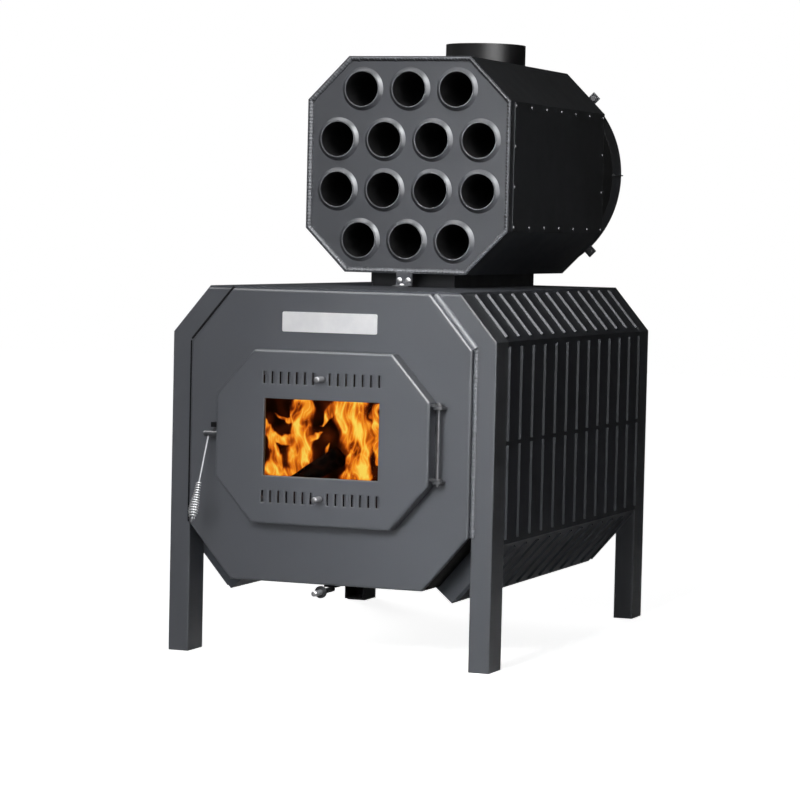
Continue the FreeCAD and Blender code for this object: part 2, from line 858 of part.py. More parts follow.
save("glass_retainer", glass_retainer())

# Air slides behind the slots, closed at rest, with guides and knobs
SLIDE_FRONT = DOOR_INSIDE + SLIDE_CLEAR
SLIDE_BACK = SLIDE_FRONT + SLIDE_T
SLIDE_HALF_H = SLOT_H / 2.0 + SLIDE_EDGE
SLIDE_REACH = SLOT_FIRST + (SLOT_COUNT - 1) * SLOT_PITCH + SLIDE_END


def air_slide(level):
    """Slide at the middle of its travel: shut at the left end, open at the right end."""
    plate = box(
        -SLIDE_REACH - SLIDE_TRAVEL / 2.0,
        SLIDE_REACH + SLIDE_TRAVEL / 2.0,
        SLIDE_FRONT,
        SLIDE_BACK,
        level - SLIDE_HALF_H,
        level + SLIDE_HALF_H,
    )
    slots = []
    for x in SLOT_XS:
        left = x - (SLIDE_TRAVEL + SLOT_W) / 2.0
        low = level - SLOT_H / 2.0
        slots.append(box(left, left + SLOT_W, SLIDE_FRONT, SLIDE_BACK, low, low + SLOT_H))
    return plate.cut(slots)


knob_neck = SLIDE_FRONT - DOOR_FRONT + KNOB_STAND
knob_steps = [(KNOB_STEM_D / 2.0, 0.0), (KNOB_STEM_D / 2.0, knob_neck)]
knob_steps += pin_steps(knob_neck, KNOB_D, KNOB_L)
guides = []
for name, level in SLOT_LEVELS.items():
    save("air_slide_%s" % name, air_slide(level))
    save("slide_knob_%s" % name, turned_knob(0.0, SLIDE_FRONT, level, knob_steps))
    for side in (-1.0, 1.0):
        near = level + side * (SLIDE_HALF_H + SLIDE_CLEAR)
        far = near + side * GUIDE_W
        lap = near - side * GUIDE_LAP
        lip_front = SLIDE_BACK + SLIDE_CLEAR
        web = box(
            -SLIDE_REACH,
            SLIDE_REACH,
            DOOR_INSIDE,
            lip_front + GUIDE_W,
            min(near, far),
            max(near, far),
        )
        lip = box(
            -SLIDE_REACH,
            SLIDE_REACH,
            lip_front,
            lip_front + GUIDE_W,
            min(lap, near),
            max(lap, near),
        )
        guides.append(web.fuse(lip).removeSplitter())
save("slide_guides", Part.makeCompound(guides))

# Hinge: lugs on the front plate, lugs on the door above them, one long pin
HINGE_X = DOOR_HALF + HINGE_OUT
HINGE_Y = PLATE_FRONT - HINGE_BACK
LUG_LEVELS = [DOOR_Z - LUG_SPREAD, DOOR_Z + LUG_SPREAD]


def lug(z, x0, x1, y0, y1):
    """Rounded lug round the pin, with a strap to its carrier."""
    bore = cyl_z(HINGE_X, HINGE_Y, HINGE_PIN_D / 2.0 + HINGE_FIT, z, z + LUG_T)
    nose = cyl_z(HINGE_X, HINGE_Y, LUG_R, z, z + LUG_T)
    strap = box(x0, x1, y0, y1, z, z + LUG_T)
    return nose.fuse(strap).removeSplitter().cut(bore)


body_lugs = []
door_lugs = []
for level in LUG_LEVELS:
    body_lugs.append(lug(level - LUG_T, HINGE_X - LUG_R, HINGE_X + LUG_R, HINGE_Y, PLATE_FRONT))
    door_lugs.append(lug(level + LUG_GAP, DOOR_HALF, HINGE_X, HINGE_Y - LUG_R, HINGE_Y + LUG_R))
save("hinge_lugs_body", Part.makeCompound(body_lugs))
save("hinge_lugs_door", Part.makeCompound(door_lugs))
pin_bottom = LUG_LEVELS[0] - LUG_T - PIN_TAIL
pin_top = LUG_LEVELS[1] + LUG_T + 2.0 * LUG_GAP
hinge_pin = cyl_z(HINGE_X, HINGE_Y, HINGE_PIN_D / 2.0, pin_bottom, pin_top)
hinge_pin = hinge_pin.fuse(cyl_z(HINGE_X, HINGE_Y, PIN_HEAD_D / 2.0, pin_top, pin_top + PIN_HEAD_T))
save("hinge_pin", hinge_pin.removeSplitter())

# Latch: side pin on the door, hub with a nose, keeper on the front plate
LATCH_Y = HINGE_Y
HUB_RIGHT = -DOOR_HALF - HUB_GAP
HUB_LEFT = HUB_RIGHT - HUB_L
HEAD_RIGHT = HUB_LEFT - LUG_GAP
latch_pin = cyl_x(LATCH_Y, DOOR_Z, LATCH_PIN_D / 2.0, HEAD_RIGHT, -DOOR_HALF)
latch_head = cyl_x(LATCH_Y, DOOR_Z, LATCH_HEAD_D / 2.0, HEAD_RIGHT - LATCH_HEAD_T, HEAD_RIGHT)
save("latch_pin", latch_pin.fuse(latch_head).removeSplitter())

NOSE_RIGHT = HUB_RIGHT - NOSE_IN
NOSE_LEFT = NOSE_RIGHT - NOSE_W
NOSE_R = HINGE_BACK - NOSE_TIP_R - NOSE_CLEAR


def latch_hub():
    angle = math.radians(NOSE_ANGLE)
    tip_y = LATCH_Y + NOSE_R * math.cos(angle)
    tip_z = DOOR_Z + NOSE_R * math.sin(angle)
    across = (-math.sin(angle), math.cos(angle))
    web = [
        (LATCH_Y - HUB_D / 2.0 * across[0], DOOR_Z - HUB_D / 2.0 * across[1]),
        (tip_y - NOSE_TIP_R * across[0], tip_z - NOSE_TIP_R * across[1]),
        (tip_y + NOSE_TIP_R * across[0], tip_z + NOSE_TIP_R * across[1]),
        (LATCH_Y + HUB_D / 2.0 * across[0], DOOR_Z + HUB_D / 2.0 * across[1]),
    ]
    hub = cyl_x(LATCH_Y, DOOR_Z, HUB_D / 2.0, HUB_LEFT, HUB_RIGHT)
    tip = cyl_x(tip_y, tip_z, NOSE_TIP_R, NOSE_LEFT, NOSE_RIGHT)
    hub = hub.fuse([prism_x(web, NOSE_LEFT, NOSE_RIGHT), tip])
    return hub.cut(cyl_x(LATCH_Y, DOOR_Z, LATCH_PIN_D / 2.0 + LATCH_FIT, HUB_LEFT, HUB_RIGHT))


save("latch_hub", latch_hub())


def latch_keeper():
    """Angle on the front plate whose lip hangs in front of the raised nose."""
    front = LATCH_Y - KEEPER_AHEAD
    nose_top = NOSE_R * math.sin(math.radians(NOSE_ANGLE)) + NOSE_TIP_R
    lip = DOOR_Z + nose_top + KEEPER_CLEAR
    room = DOOR_Z + NOSE_R + NOSE_TIP_R + KEEPER_CLEAR
    outline = [
        (PLATE_FRONT, room),
        (PLATE_FRONT, room + KEEPER_T),
        (front, room + KEEPER_T),
        (front, lip),
        (front + KEEPER_T, lip),
        (front + KEEPER_T, room),
    ]
    return prism_x(outline, NOSE_LEFT - LUG_GAP, NOSE_RIGHT + LUG_GAP)


save("latch_keeper", latch_keeper())

# Handle rod and coil-spring grip, leaning forward from the hub
HANDLE_X = -DOOR_HALF - HANDLE_X_OUT
lean = math.radians(HANDLE_LEAN)
HANDLE_DIR = V(0, -math.sin(lean), -math.cos(lean))
HANDLE_SIDE = V(1, 0, 0)
HANDLE_UP = HANDLE_DIR.cross(HANDLE_SIDE)
HANDLE_ROOT = V(HANDLE_X, LATCH_Y, DOOR_Z)


def handle_rod():
    length = HANDLE_BARE + GRIP_L
    rod = Part.makeCylinder(HANDLE_ROD_D / 2.0, length, HANDLE_ROOT, HANDLE_DIR)
    end = HANDLE_ROOT + HANDLE_DIR * length
    cap = Part.makeCone(GRIP_END_R, GRIP_END_R / 2.0, GRIP_END_L, end, HANDLE_DIR)
    rod = rod.fuse(cap).removeSplitter()
    return rod.cut(cyl_x(LATCH_Y, DOOR_Z, HUB_D / 2.0, HUB_LEFT, HUB_RIGHT))


save("handle_rod", handle_rod())

GRIP_CORE_R = HANDLE_ROD_D / 2.0 + GRIP_CLEAR + GRIP_WIRE_D / 2.0
GRIP_END_GAP = GRIP_WIRE_D


def grip_point(turn):
    """Centre of the grip's wire after so many turns: a helix that swells towards its lower end."""
    share = turn / GRIP_TURNS
    swell = GRIP_BULGE * math.sin(math.pi * share ** GRIP_SKEW)
    radius = GRIP_CORE_R + swell
    along = HANDLE_BARE + GRIP_END_GAP + share * (GRIP_L - 2.0 * GRIP_END_GAP)
    angle = 2.0 * math.pi * turn
    offset = HANDLE_SIDE * (radius * math.cos(angle)) + HANDLE_UP * (radius * math.sin(angle))
    return HANDLE_ROOT + HANDLE_DIR * along + offset


def grip_tangent(turn):
    step = 1e-4
    ahead = grip_point(min(turn + step, GRIP_TURNS)) - grip_point(max(turn - step, 0.0))
    return ahead.normalize()


def arc_between(start, corner, end):
    """Arc from start to end that is tangent to the two lines through corner."""
    middle = (start + end) * 0.5
    half = (end - start).Length / 2.0
    rise = (corner - middle).Length
    slope = math.atan2(rise, half)
    top = middle + (corner - middle).normalize() * (half * math.tan(slope / 2.0))
    return Part.Arc(start, top, end).toShape()


def biarc(p1, t1, p2, t2):
    """Two arcs from p1 along t1 to p2 along t2."""
    gap = p2 - p1
    both = t1 + t2
    a = 2.0 * (1.0 - t1.dot(t2))
    b = 2.0 * gap.dot(both)
    c = -gap.dot(gap)
    reach = (-b + math.sqrt(b * b - 4.0 * a * c)) / (2.0 * a)
    corner1 = p1 + t1 * reach
    corner2 = p2 - t2 * reach
    joint = (corner1 + corner2) * 0.5
    return [arc_between(p1, corner1, joint), arc_between(joint, corner2, p2)]


def spring_grip():
    steps = 2 * GRIP_TURNS
    edges = []
    for i in range(steps):
        a = i / 2.0
        b = (i + 1) / 2.0
        edges += biarc(grip_point(a), grip_tangent(a), grip_point(b), grip_tangent(b))
    first = grip_point(0.0)
    first_dir = grip_tangent(0.0)
    last = grip_point(GRIP_TURNS)
    last_dir = grip_tangent(GRIP_TURNS)
    start = first - first_dir * GRIP_WIRE_D
    edges.insert(0, Part.LineSegment(start, first).toShape())
    edges.append(Part.LineSegment(last, last + last_dir * GRIP_WIRE_D).toShape())
    path = Part.Wire(edges)
    ring = Part.Wire(Part.makeCircle(GRIP_WIRE_D / 2.0, start, first_dir))
    return path.makePipeShell([ring], True, False), path


def least_self_gap(path):
    """Least clear distance between neighbouring turns, measured on points of the wire's centre line."""
    points = []
    for edge in path.Edges:
        points += edge.discretize(Number=9)[:-1]
    arc_points = len(points) // GRIP_TURNS
    least = None
    for i, p in enumerate(points):
        for q in points[i + arc_points // 2:]:
            distance = (q - p).Length
            if least is None or distance < least:
                least = distance
    return least - GRIP_WIRE_D


grip, grip_path = spring_grip()
print("least gap of the spring grip to itself: %.2f mm" % least_self_gap(grip_path))
print("spring grip volume over section times length: %.4f"
      % (grip.Volume / (math.pi * GRIP_WIRE_D ** 2 / 4.0 * grip_path.Length)))
save("spring_grip", grip)

# Bare name plate
badge = box(
    -BADGE_W / 2.0,
    BADGE_W / 2.0,
    PLATE_FRONT - BADGE_T,
    PLATE_FRONT,
    BADGE_Z - BADGE_H / 2.0,
    BADGE_Z + BADGE_H / 2.0,
)
badge_corners = [edge for edge in badge.Edges if abs(edge.tangentAt(edge.FirstParameter).y) > 0.9]
save("name_plate", badge.makeFillet(BADGE_CORNER_R, badge_corners))

# Neck and front bracket
neck = box(-NECK_HALF, NECK_HALF, NECK_FRONT, NECK_BACK, TOP_Z, EX_BOTTOM)
save("neck_box", neck.cut(neck_way(TOP_Z, EX_BOTTOM)))

BRACKET_HALF = BRACKET_W / 2.0
BRACKET_FRONT = EX_FRONT - BRACKET_T
bolt_z = (TOP_Z + EX_BOTTOM) / 2.0
foot_y = BRACKET_FRONT - BRACKET_FOOT / 2.0


def bracket_holes(y0, y1):
    return [cyl_y(side * BOLT_SPACING / 2.0, bolt_z, BOLT_D / 2.0, y0, y1) for side in (-1.0, 1.0)]


upright = box(-BRACKET_HALF, BRACKET_HALF, BRACKET_FRONT, EX_FRONT, TOP_Z, EX_BOTTOM + BRACKET_LAP)
foot = box(
    -BRACKET_HALF,
    BRACKET_HALF,
    BRACKET_FRONT - BRACKET_FOOT,
    BRACKET_FRONT,
    TOP_Z,
    TOP_Z + BRACKET_T,
)
foot_hole = cyl_z(0.0, foot_y, BOLT_D / 2.0, TOP_Z, TOP_Z + BRACKET_T)
angle_bracket = upright.fuse(foot).removeSplitter().cut(bracket_holes(BRACKET_FRONT, EX_FRONT) + [foot_hole])
save("neck_bracket", angle_bracket)
hanger_back = EX_FRONT + BRACKET_T
hanger = box(-BRACKET_HALF, BRACKET_HALF, EX_FRONT, hanger_back, TOP_Z + BRACKET_T, EX_BOTTOM)
save("neck_hanger", hanger.cut(bracket_holes(EX_FRONT, hanger_back)))
neck_bolts = [hex_bolt(V(0, foot_y, TOP_Z + BRACKET_T), V(0, 0, 1), BRACKET_T)]
for side in (-1.0, 1.0):
    seat = V(side * BOLT_SPACING / 2.0, BRACKET_FRONT, bolt_z)
    neck_bolts.append(hex_bolt(seat, V(0, -1, 0), 2.0 * BRACKET_T))
save("neck_bolts", Part.makeCompound(neck_bolts))


# Exchanger casing, tube plates, tubes and baffle
def exchanger_casing():
    tube = prism_y(EX_OUTLINE, EX_FRONT, EX_REAR)
    hollow = prism_y(inset(EX_OUTLINE, EX_WALL), EX_FRONT, EX_REAR)
    top = EX_BOTTOM + EX_W
    flue_hole = cyl_z(0.0, FLUE_Y, FLUE_D / 2.0 - FLUE_WALL, top - EX_WALL, top)
    return tube.cut([hollow, neck_way(EX_BOTTOM, EX_BOTTOM + EX_WALL), flue_hole])


save("exchanger_casing", exchanger_casing())


def tube_plate(y):
    plate = prism_y(inset(EX_OUTLINE, EX_WALL), y, y + TUBE_PLATE_T)
    holes = []
    for row in range(len(TUBE_ROWS)):
        for x, z in tube_centres(row):
            holes.append(cyl_y(x, z, TUBE_R + TUBE_FIT, y, y + TUBE_PLATE_T))
    return plate.cut(holes)


def weld_collars():
    """Weld fillets on the front plate, one round each tube."""
    collars = []
    for row in range(len(TUBE_ROWS)):
        for x, z in tube_centres(row):
            root = V(x, FRONT_PLATE_Y, z)
            collar = Part.makeCone(TUBE_R + WELD_LEG, TUBE_R + WELD_TIP, WELD_H, root, V(0, -1, 0))
            collars.append(collar.cut(cyl_y(x, z, TUBE_R + TUBE_FIT, FRONT_PLATE_Y - WELD_H, FRONT_PLATE_Y)))
    return collars


save("tube_plate_front", tube_plate(FRONT_PLATE_Y).fuse(weld_collars()).removeSplitter())
save("tube_plate_rear", tube_plate(REAR_PLATE_Y))

tube_start = FRONT_PLATE_Y - TUBE_PROUD
tube_end = REAR_PLATE_Y + TUBE_PLATE_T + TUBE_PROUD
for row in range(len(TUBE_ROWS)):
    tubes = []
    for x, z in tube_centres(row):
        pipe = cyl_y(x, z, TUBE_R, tube_start, tube_end)
        tubes.append(pipe.cut(cyl_y(x, z, TUBE_R - TUBE_WALL, tube_start, tube_end)))
    save("heat_tubes_row_%d" % (row + 1), Part.makeCompound(tubes))

smoke_half = EX_HALF - EX_WALL
smoke_baffle = box(
    -smoke_half,
    smoke_half,
    SMOKE_BAFFLE_FRONT,
    REAR_PLATE_Y,
    EX_Z - SMOKE_BAFFLE_T / 2.0,
    EX_Z + SMOKE_BAFFLE_T / 2.0,
)
save("smoke_baffle", smoke_baffle)

# Side covers and their rivets
cover_half_z = EX_HALF - EX_RUN - COVER_INSET
cover_y0 = EX_FRONT + COVER_FRONT
cover_y1 = EX_REAR - COVER_REAR
cover = box(EX_HALF, EX_HALF + COVER_T, cover_y0, cover_y1, EX_Z - cover_half_z, EX_Z + cover_half_z)
save("side_cover_right", cover)
save("side_cover_left", mirror_x(cover))
rivet_ys = spread(cover_y0 + RIVET_INSET, cover_y1 - RIVET_INSET, RIVETS_PER_ROW)
rivet_zs = spread(EX_Z - cover_half_z + RIVET_INSET, EX_Z + cover_half_z - RIVET_INSET, RIVETS_PER_COLUMN)
rivet_seats = [(y, z) for y in rivet_ys for z in (rivet_zs[0], rivet_zs[-1])]
rivet_seats += [(y, z) for y in (rivet_ys[0], rivet_ys[-1]) for z in rivet_zs[1:-1]]
rivets = []
for y, z in rivet_seats:
    seat = V(EX_HALF + COVER_T, y, z)
    rivet = Part.makeCone(RIVET_D / 2.0, RIVET_D / 4.0, RIVET_H, seat, V(1, 0, 0))
    rivets.append(rivet)
    rivets.append(mirror_x(rivet))
save("cover_rivets", Part.makeCompound(rivets))

# Flue collar
flue_low = EX_BOTTOM + EX_W
collar = cyl_z(0.0, FLUE_Y, FLUE_D / 2.0, flue_low, flue_low + FLUE_H)
collar = collar.cut(cyl_z(0.0, FLUE_Y, FLUE_D / 2.0 - FLUE_WALL, flue_low, flue_low + FLUE_H))
save("flue_collar", collar)

# Fan mounting
DRUM_R = EX_HALF - DRUM_INSET
DRUM_Y0 = EX_REAR + FAN_PLATE_T
DRUM_Y1 = DRUM_Y0 + DRUM_L
fan_plate = prism_y(EX_OUTLINE, EX_REAR, DRUM_Y0)
fan_plate = fan_plate.cut(cyl_y(0.0, EX_Z, DRUM_R - DRUM_WALL - FAN_LAND, EX_REAR, DRUM_Y0))
save("fan_plate", fan_plate)
drum = cyl_y(0.0, EX_Z, DRUM_R, DRUM_Y0, DRUM_Y1)
save("fan_drum", drum.cut(cyl_y(0.0, EX_Z, DRUM_R - DRUM_WALL, DRUM_Y0, DRUM_Y1)))


def around(shape, count, first=0.0):
    """Copies of a shape turned about the fan axis."""
    copies = []
    for i in range(count):
        copy = shape.copy()
        copy.rotate(V(0, 0, EX_Z), V(0, 1, 0), first + 360.0 * i / count)
        copies.append(copy)
    return copies


def ring_seam():
    """Upright seam that follows the ring's flare on its right side."""
    inner = DRUM_R - RING_WALL
    outer = DRUM_R + SEAM_OUT
    low = EX_Z - SEAM_T / 2.0
    outline = [
        V(inner, DRUM_Y1, low),
        V(outer, DRUM_Y1, low),
        V(outer + RING_FLARE, DRUM_Y1 + RING_L, low),
        V(inner + RING_FLARE, DRUM_Y1 + RING_L, low),
    ]
    return Part.Face(Part.makePolygon(outline + outline[:1])).extrude(V(0, 0, SEAM_T))


def fan_flange():
    """Flared ring behind the drum, with four ears at its front edge and a seam on each side."""
    ear = box(-EAR_W / 2.0, EAR_W / 2.0, DRUM_Y1, DRUM_Y1 + EAR_T, EX_Z + DRUM_R - RING_WALL, EX_Z + EAR_R)
    hole = cyl_y(0.0, EX_Z + EAR_BOLT_R, BOLT_D / 2.0, DRUM_Y1, DRUM_Y1 + EAR_T)
    start = V(0, DRUM_Y1, EX_Z)
    ring = Part.makeCone(DRUM_R, DRUM_R + RING_FLARE, RING_L, start, V(0, 1, 0))
    bore = Part.makeCone(DRUM_R - RING_WALL, DRUM_R + RING_FLARE - RING_WALL, RING_L, start, V(0, 1, 0))
    ring = ring.fuse(around(ear, 4, 45.0) + around(ring_seam(), 2)).removeSplitter()
    return ring.cut([bore] + around(hole, 4, 45.0))


EAR_R = DRUM_R + EAR_OUT
EAR_BOLT_R = DRUM_R + EAR_BOLT_OUT
save("fan_flange", fan_flange())
ear_bolt = hex_bolt(V(0, DRUM_Y1, EX_Z + EAR_BOLT_R), V(0, -1, 0), EAR_T)
save("flange_bolts", Part.makeCompound(around(ear_bolt, 4, 45.0)))

GUARD_Y1 = DRUM_Y1 + RING_L - GUARD_INSET
GUARD_Y0 = GUARD_Y1 - GUARD_WIRE


def fan_guard():
    """Flat wire rings on spokes that end on the fan ring, with a disc that carries the motor."""
    disc_r = GUARD_DISC_D / 2.0
    share = (RING_L - GUARD_INSET) / RING_L
    foot_r = DRUM_R + share * RING_FLARE - RING_WALL
    guard = [cyl_y(0.0, EX_Z, disc_r, GUARD_Y0, GUARD_Y0 + GUARD_DISC_T)]
    step = (foot_r - disc_r) / (GUARD_RINGS + 1)
    for i in range(GUARD_RINGS):
        outer = disc_r + (i + 1) * step
        ring = cyl_y(0.0, EX_Z, outer, GUARD_Y0, GUARD_Y1)
        guard.append(ring.cut(cyl_y(0.0, EX_Z, outer - GUARD_WIRE, GUARD_Y0, GUARD_Y1)))
    half = GUARD_WIRE / 2.0
    spoke = box(-half, half, GUARD_Y0, GUARD_Y1, EX_Z + disc_r - GUARD_WIRE, EX_Z + foot_r + RING_WALL)
    start = V(0, DRUM_Y1, EX_Z)
    room = Part.makeCone(DRUM_R - RING_WALL, DRUM_R + RING_FLARE - RING_WALL, RING_L, start, V(0, 1, 0))
    guard += [arm.common(room) for arm in around(spoke, GUARD_SPOKES, 180.0 / GUARD_SPOKES)]
    return guard[0].fuse(guard[1:]).removeSplitter()


save("fan_guard", fan_guard())

MOTOR_Y0 = GUARD_Y0 - MOTOR_L
motor = cyl_y(0.0, EX_Z, MOTOR_D / 2.0, MOTOR_Y0, GUARD_Y0)
gland_z = EX_Z - MOTOR_D / 2.0 + FAN_HUB_GAP
gland = cyl_z(0.0, MOTOR_Y0 + MOTOR_L / 2.0, GLAND_D / 2.0, gland_z - FAN_HUB_GAP - GLAND_L, gland_z)
motor = motor.fuse(gland).removeSplitter()
save("fan_motor", motor.cut(cyl_y(0.0, EX_Z, SHAFT_D / 2.0 + SHAFT_FIT, MOTOR_Y0, MOTOR_Y0 + SHAFT_IN)))

HUB_Y1 = MOTOR_Y0 - FAN_HUB_GAP
HUB_Y0 = HUB_Y1 - FAN_HUB_L


def blade_section(radius, angle, chord):
    """Flat blade section at a radius, pitched by angle from the plane of rotation."""
    pitch = math.radians(angle)
    along = V(math.cos(pitch), math.sin(pitch), 0) * (chord / 2.0)
    across = V(-math.sin(pitch), math.cos(pitch), 0) * (FAN_BLADE_T / 2.0)
    centre = V(0, (HUB_Y0 + HUB_Y1) / 2.0, EX_Z + radius)
    ring = [
        centre - along - across,
        centre + along - across,
        centre + along + across,
        centre - along + across,
    ]
    return Part.makePolygon(ring + ring[:1])


def fan_impeller():
    hub = cyl_y(0.0, EX_Z, FAN_HUB_D / 2.0, HUB_Y0, HUB_Y1)
    shaft = cyl_y(0.0, EX_Z, SHAFT_D / 2.0, HUB_Y1, MOTOR_Y0 + SHAFT_IN - FAN_HUB_GAP)
    root = blade_section(FAN_HUB_D / 2.0 - FAN_ROOT_CHORD / 4.0, FAN_ROOT_ANGLE, FAN_ROOT_CHORD)
    tip_r = DRUM_R - DRUM_WALL - FAN_TIP_GAP
    tip = blade_section(tip_r, FAN_TIP_ANGLE, FAN_TIP_CHORD)
    blade = Part.makeLoft([root, tip], True, True)
    trim = cyl_y(0.0, EX_Z, tip_r, HUB_Y0 - FAN_TIP_CHORD, HUB_Y1 + FAN_TIP_CHORD)
    blades = [copy.common(trim) for copy in around(blade, FAN_BLADES)]
    return hub.fuse([shaft] + blades).removeSplitter()


save("fan_impeller", fan_impeller())
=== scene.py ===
import json
import math
import random

import bmesh
import bpy
from mathutils import Matrix, Vector, noise


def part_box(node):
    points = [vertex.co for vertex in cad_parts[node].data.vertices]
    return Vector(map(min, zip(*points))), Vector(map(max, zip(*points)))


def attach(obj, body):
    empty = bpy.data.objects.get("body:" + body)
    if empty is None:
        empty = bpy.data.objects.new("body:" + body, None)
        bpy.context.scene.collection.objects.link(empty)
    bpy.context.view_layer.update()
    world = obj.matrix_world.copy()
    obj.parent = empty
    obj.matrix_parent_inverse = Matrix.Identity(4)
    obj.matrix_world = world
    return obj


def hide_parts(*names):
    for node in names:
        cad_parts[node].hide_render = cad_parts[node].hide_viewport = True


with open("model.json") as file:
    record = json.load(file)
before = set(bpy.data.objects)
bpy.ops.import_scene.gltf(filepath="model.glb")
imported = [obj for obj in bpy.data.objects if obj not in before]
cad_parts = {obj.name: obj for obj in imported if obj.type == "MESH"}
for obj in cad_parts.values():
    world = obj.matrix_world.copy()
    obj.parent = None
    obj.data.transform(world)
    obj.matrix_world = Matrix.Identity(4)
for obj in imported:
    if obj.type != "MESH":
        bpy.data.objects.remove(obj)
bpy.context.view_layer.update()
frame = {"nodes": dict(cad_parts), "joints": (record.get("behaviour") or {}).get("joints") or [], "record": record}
NODES = frame["nodes"]
MM = 0.001

# Camera: the photograph's viewpoint
CAMERA_AZIMUTH = 21.04
CAMERA_ELEVATION = 3.21
CAMERA_ROLL = 1.28
CAMERA_DISTANCE = 7.52693
CAMERA_TARGET = Vector((-0.06071, 0.0, 0.57566))
CAMERA_LENS = 136.08
CAMERA_SENSOR = 36.0

# Colours
GREY_PAINT = (0.098, 0.105, 0.121)
SHADE_PAINT = (0.020, 0.021, 0.024)
# Lighter paint on rounded edges: wear, and a painted highlight
WORN_AND_HIGHLIT_PAINT = (0.20, 0.207, 0.222)
# Painted highlight on the heat tubes' lips
TUBE_LIP_HIGHLIGHT = (0.30, 0.31, 0.33)
BLUED_STEEL = (0.085, 0.086, 0.090)
WHITE = (1.0, 1.0, 1.0, 1.0)

# Paint: roughness, noise scales, bumps as strength and height, rounded edges rubbed lighter and lightened as a
# painted highlight, and shade painted on faces turned down and to the left
SATIN = (0.32, 0.40)
MATT = (0.50, 0.60)
MOTTLE_SCALE = 3.1
PATCH_SCALE = 17.0
GRAIN_SCALE = 520.0
WAVE_SCALE = 95.0
GRAIN_SHARE = 0.16
GRAIN_BUMP = (0.10, 0.3 * MM)
WAVE_BUMP = (0.05, 0.5 * MM)
PAINT_EDGE = 1.6 * MM
LEG_EDGE = 7.5 * MM
FAN_EDGE = 0.8 * MM
EDGE_SAMPLES = 4
EDGE_COSINES = (0.72, 0.97)
RUBBED_AND_HIGHLIT_SHARES = (0.15, 0.75)
# Painted shade: the side whose faces get a dark colour, and the cosines over which it comes in
SHADED_SIDE = Vector((-0.6, 0.0, -0.8))
SHADE_COSINES = (0.15, 0.55)
SOOT_FINER = 9.0

# Bare metal
DRAWN_MARKS = (4.0, 4.0, 260.0)
MARK_SCALE = 6.0
MARK_BUMP = (0.06, 0.15 * MM)
DULL_SCALE = 38.0
METAL_EDGE = 0.5 * MM
BLUED_FADE = 0.4 * MM

# Front of the air knob's disc
AIR_DISC_FACE = -664.4 * MM

# Front tube plate and the tubes' front ends
TUBE_PLATE_FACE = -138.0 * MM
TUBE_FRONT = -147.0 * MM
TUBE_PAINTED = 6.0 * MM
TUBE_LIP_DEPTH = 1.0 * MM

# Welds: a bead's seat is in radii from the rim, its roughness is the share of the ripple that is left
FRONT_BEAD_R = 6.2 * MM
FRONT_BEAD_PITCH = 9.5 * MM
FRONT_BEAD_STEP = 0.9 * MM
FRONT_BEAD_SIDES = 14
SHOULDER_BEAD_R = 9.4 * MM
SHOULDER_STOP = 7.0 * MM
# Black strip painted as the shadow along the front plate's left rim
SHADOW_STRIP_R = 5.0 * MM
BEAD_SEAT = 0.85
SHOULDER_SEAT = 0.35
AS_WELDED = 1.0
GROUND_SMOOTH = 0.12
RIM_WELD_LEG = 9.6 * MM
RIM_WELD_PITCH = 8.0 * MM
RIM_WELD_STEP = 1.1 * MM
RIM_WELD_SEED = 5.0
FILLET_PROFILE = ((0.0, 0.0), (0.0, 0.94), (0.40, 0.76), (0.76, 0.40), (1.0, 0.0))

# Scales of a weld: how uneven they are, their least and added size, and their roundness and lean
SCALE_UNEVEN = 0.20
SCALE_NOISE_STEP = 0.73
SCALE_LEAST = 0.76
SCALE_SWELL = 0.24
SCALE_ROUNDNESS = 0.8
SCALE_LEAN = 0.9

# Spring grip, as in the solid model
HANDLE_LEAN = 24.0
HANDLE_BARE = 119.0 * MM
HANDLE_ROD_R = 3.0 * MM
GRIP_LENGTH = 92.0 * MM
GRIP_TURNS = 14
GRIP_TURN_STEPS = 40
GRIP_WIRE_R = 1.6 * MM
GRIP_WIRE_SIDES = 12
GRIP_CLEAR = 0.45 * MM
GRIP_BULGE = 5.6 * MM
GRIP_SKEW = 2.2

# Rope gasket: its size and inset in shares, then its bends, its lay and its strands
ROPE_SIZE = 0.86
ROPE_INSET = 1.05
ROPE_BEND = 26.0 * MM
ROPE_BEND_STEPS = 8
ROPE_STEP = 2.0 * MM
ROPE_LAY = 34.0 * MM
ROPE_SIDES = 20
ROPE_STRANDS = 4.0
ROPE_CORE = 0.93
ROPE_LOBE = 0.07

# Rivets and bolts: (radius, height) steps in millimetres along a fastener, from the seat outwards
BLIND_RIVET = ((4.6, 0.0), (4.5, 0.7), (3.9, 1.5), (2.9, 2.1), (1.7, 2.4), (1.3, 2.0), (0.6, 2.1))
DOME_BOLT = (
    (3.9, -3.0), (3.9, 0.0), (6.9, 0.0), (6.9, 0.8), (6.2, 2.2), (4.9, 3.5), (3.1, 4.5), (1.2, 4.9),
)
TURNED_SEGMENTS = 16
BOLT_OFF_MIDDLE = 1.0 * MM

# Reading the solids' meshes
SECTION_NEAR = 0.02 * MM
SAME_POINT = 0.01 * MM
STRAIGHT = 1e-9


# Node helpers
def new_material(name):
    """Empty node material with a Principled shader: material, node tree and shader."""
    material = bpy.data.materials.new(name)
    material.use_nodes = True
    tree = material.node_tree
    shader = tree.nodes["Principled BSDF"]
    return material, tree, shader


def add(tree, kind, **values):
    """New node with its settings and input defaults."""
    node = tree.nodes.new(kind)
    for key, value in values.items():
        if key in node.inputs:
            node.inputs[key].default_value = value
        else:
            setattr(node, key, value)
    return node


def feed(tree, socket, value):
    """Link an input to a socket, or set it to a colour or a constant."""
    if isinstance(value, bpy.types.NodeSocket):
        tree.links.new(value, socket)
    elif isinstance(value, tuple):
        socket.default_value = (*value, 1.0)
    else:
        socket.default_value = value


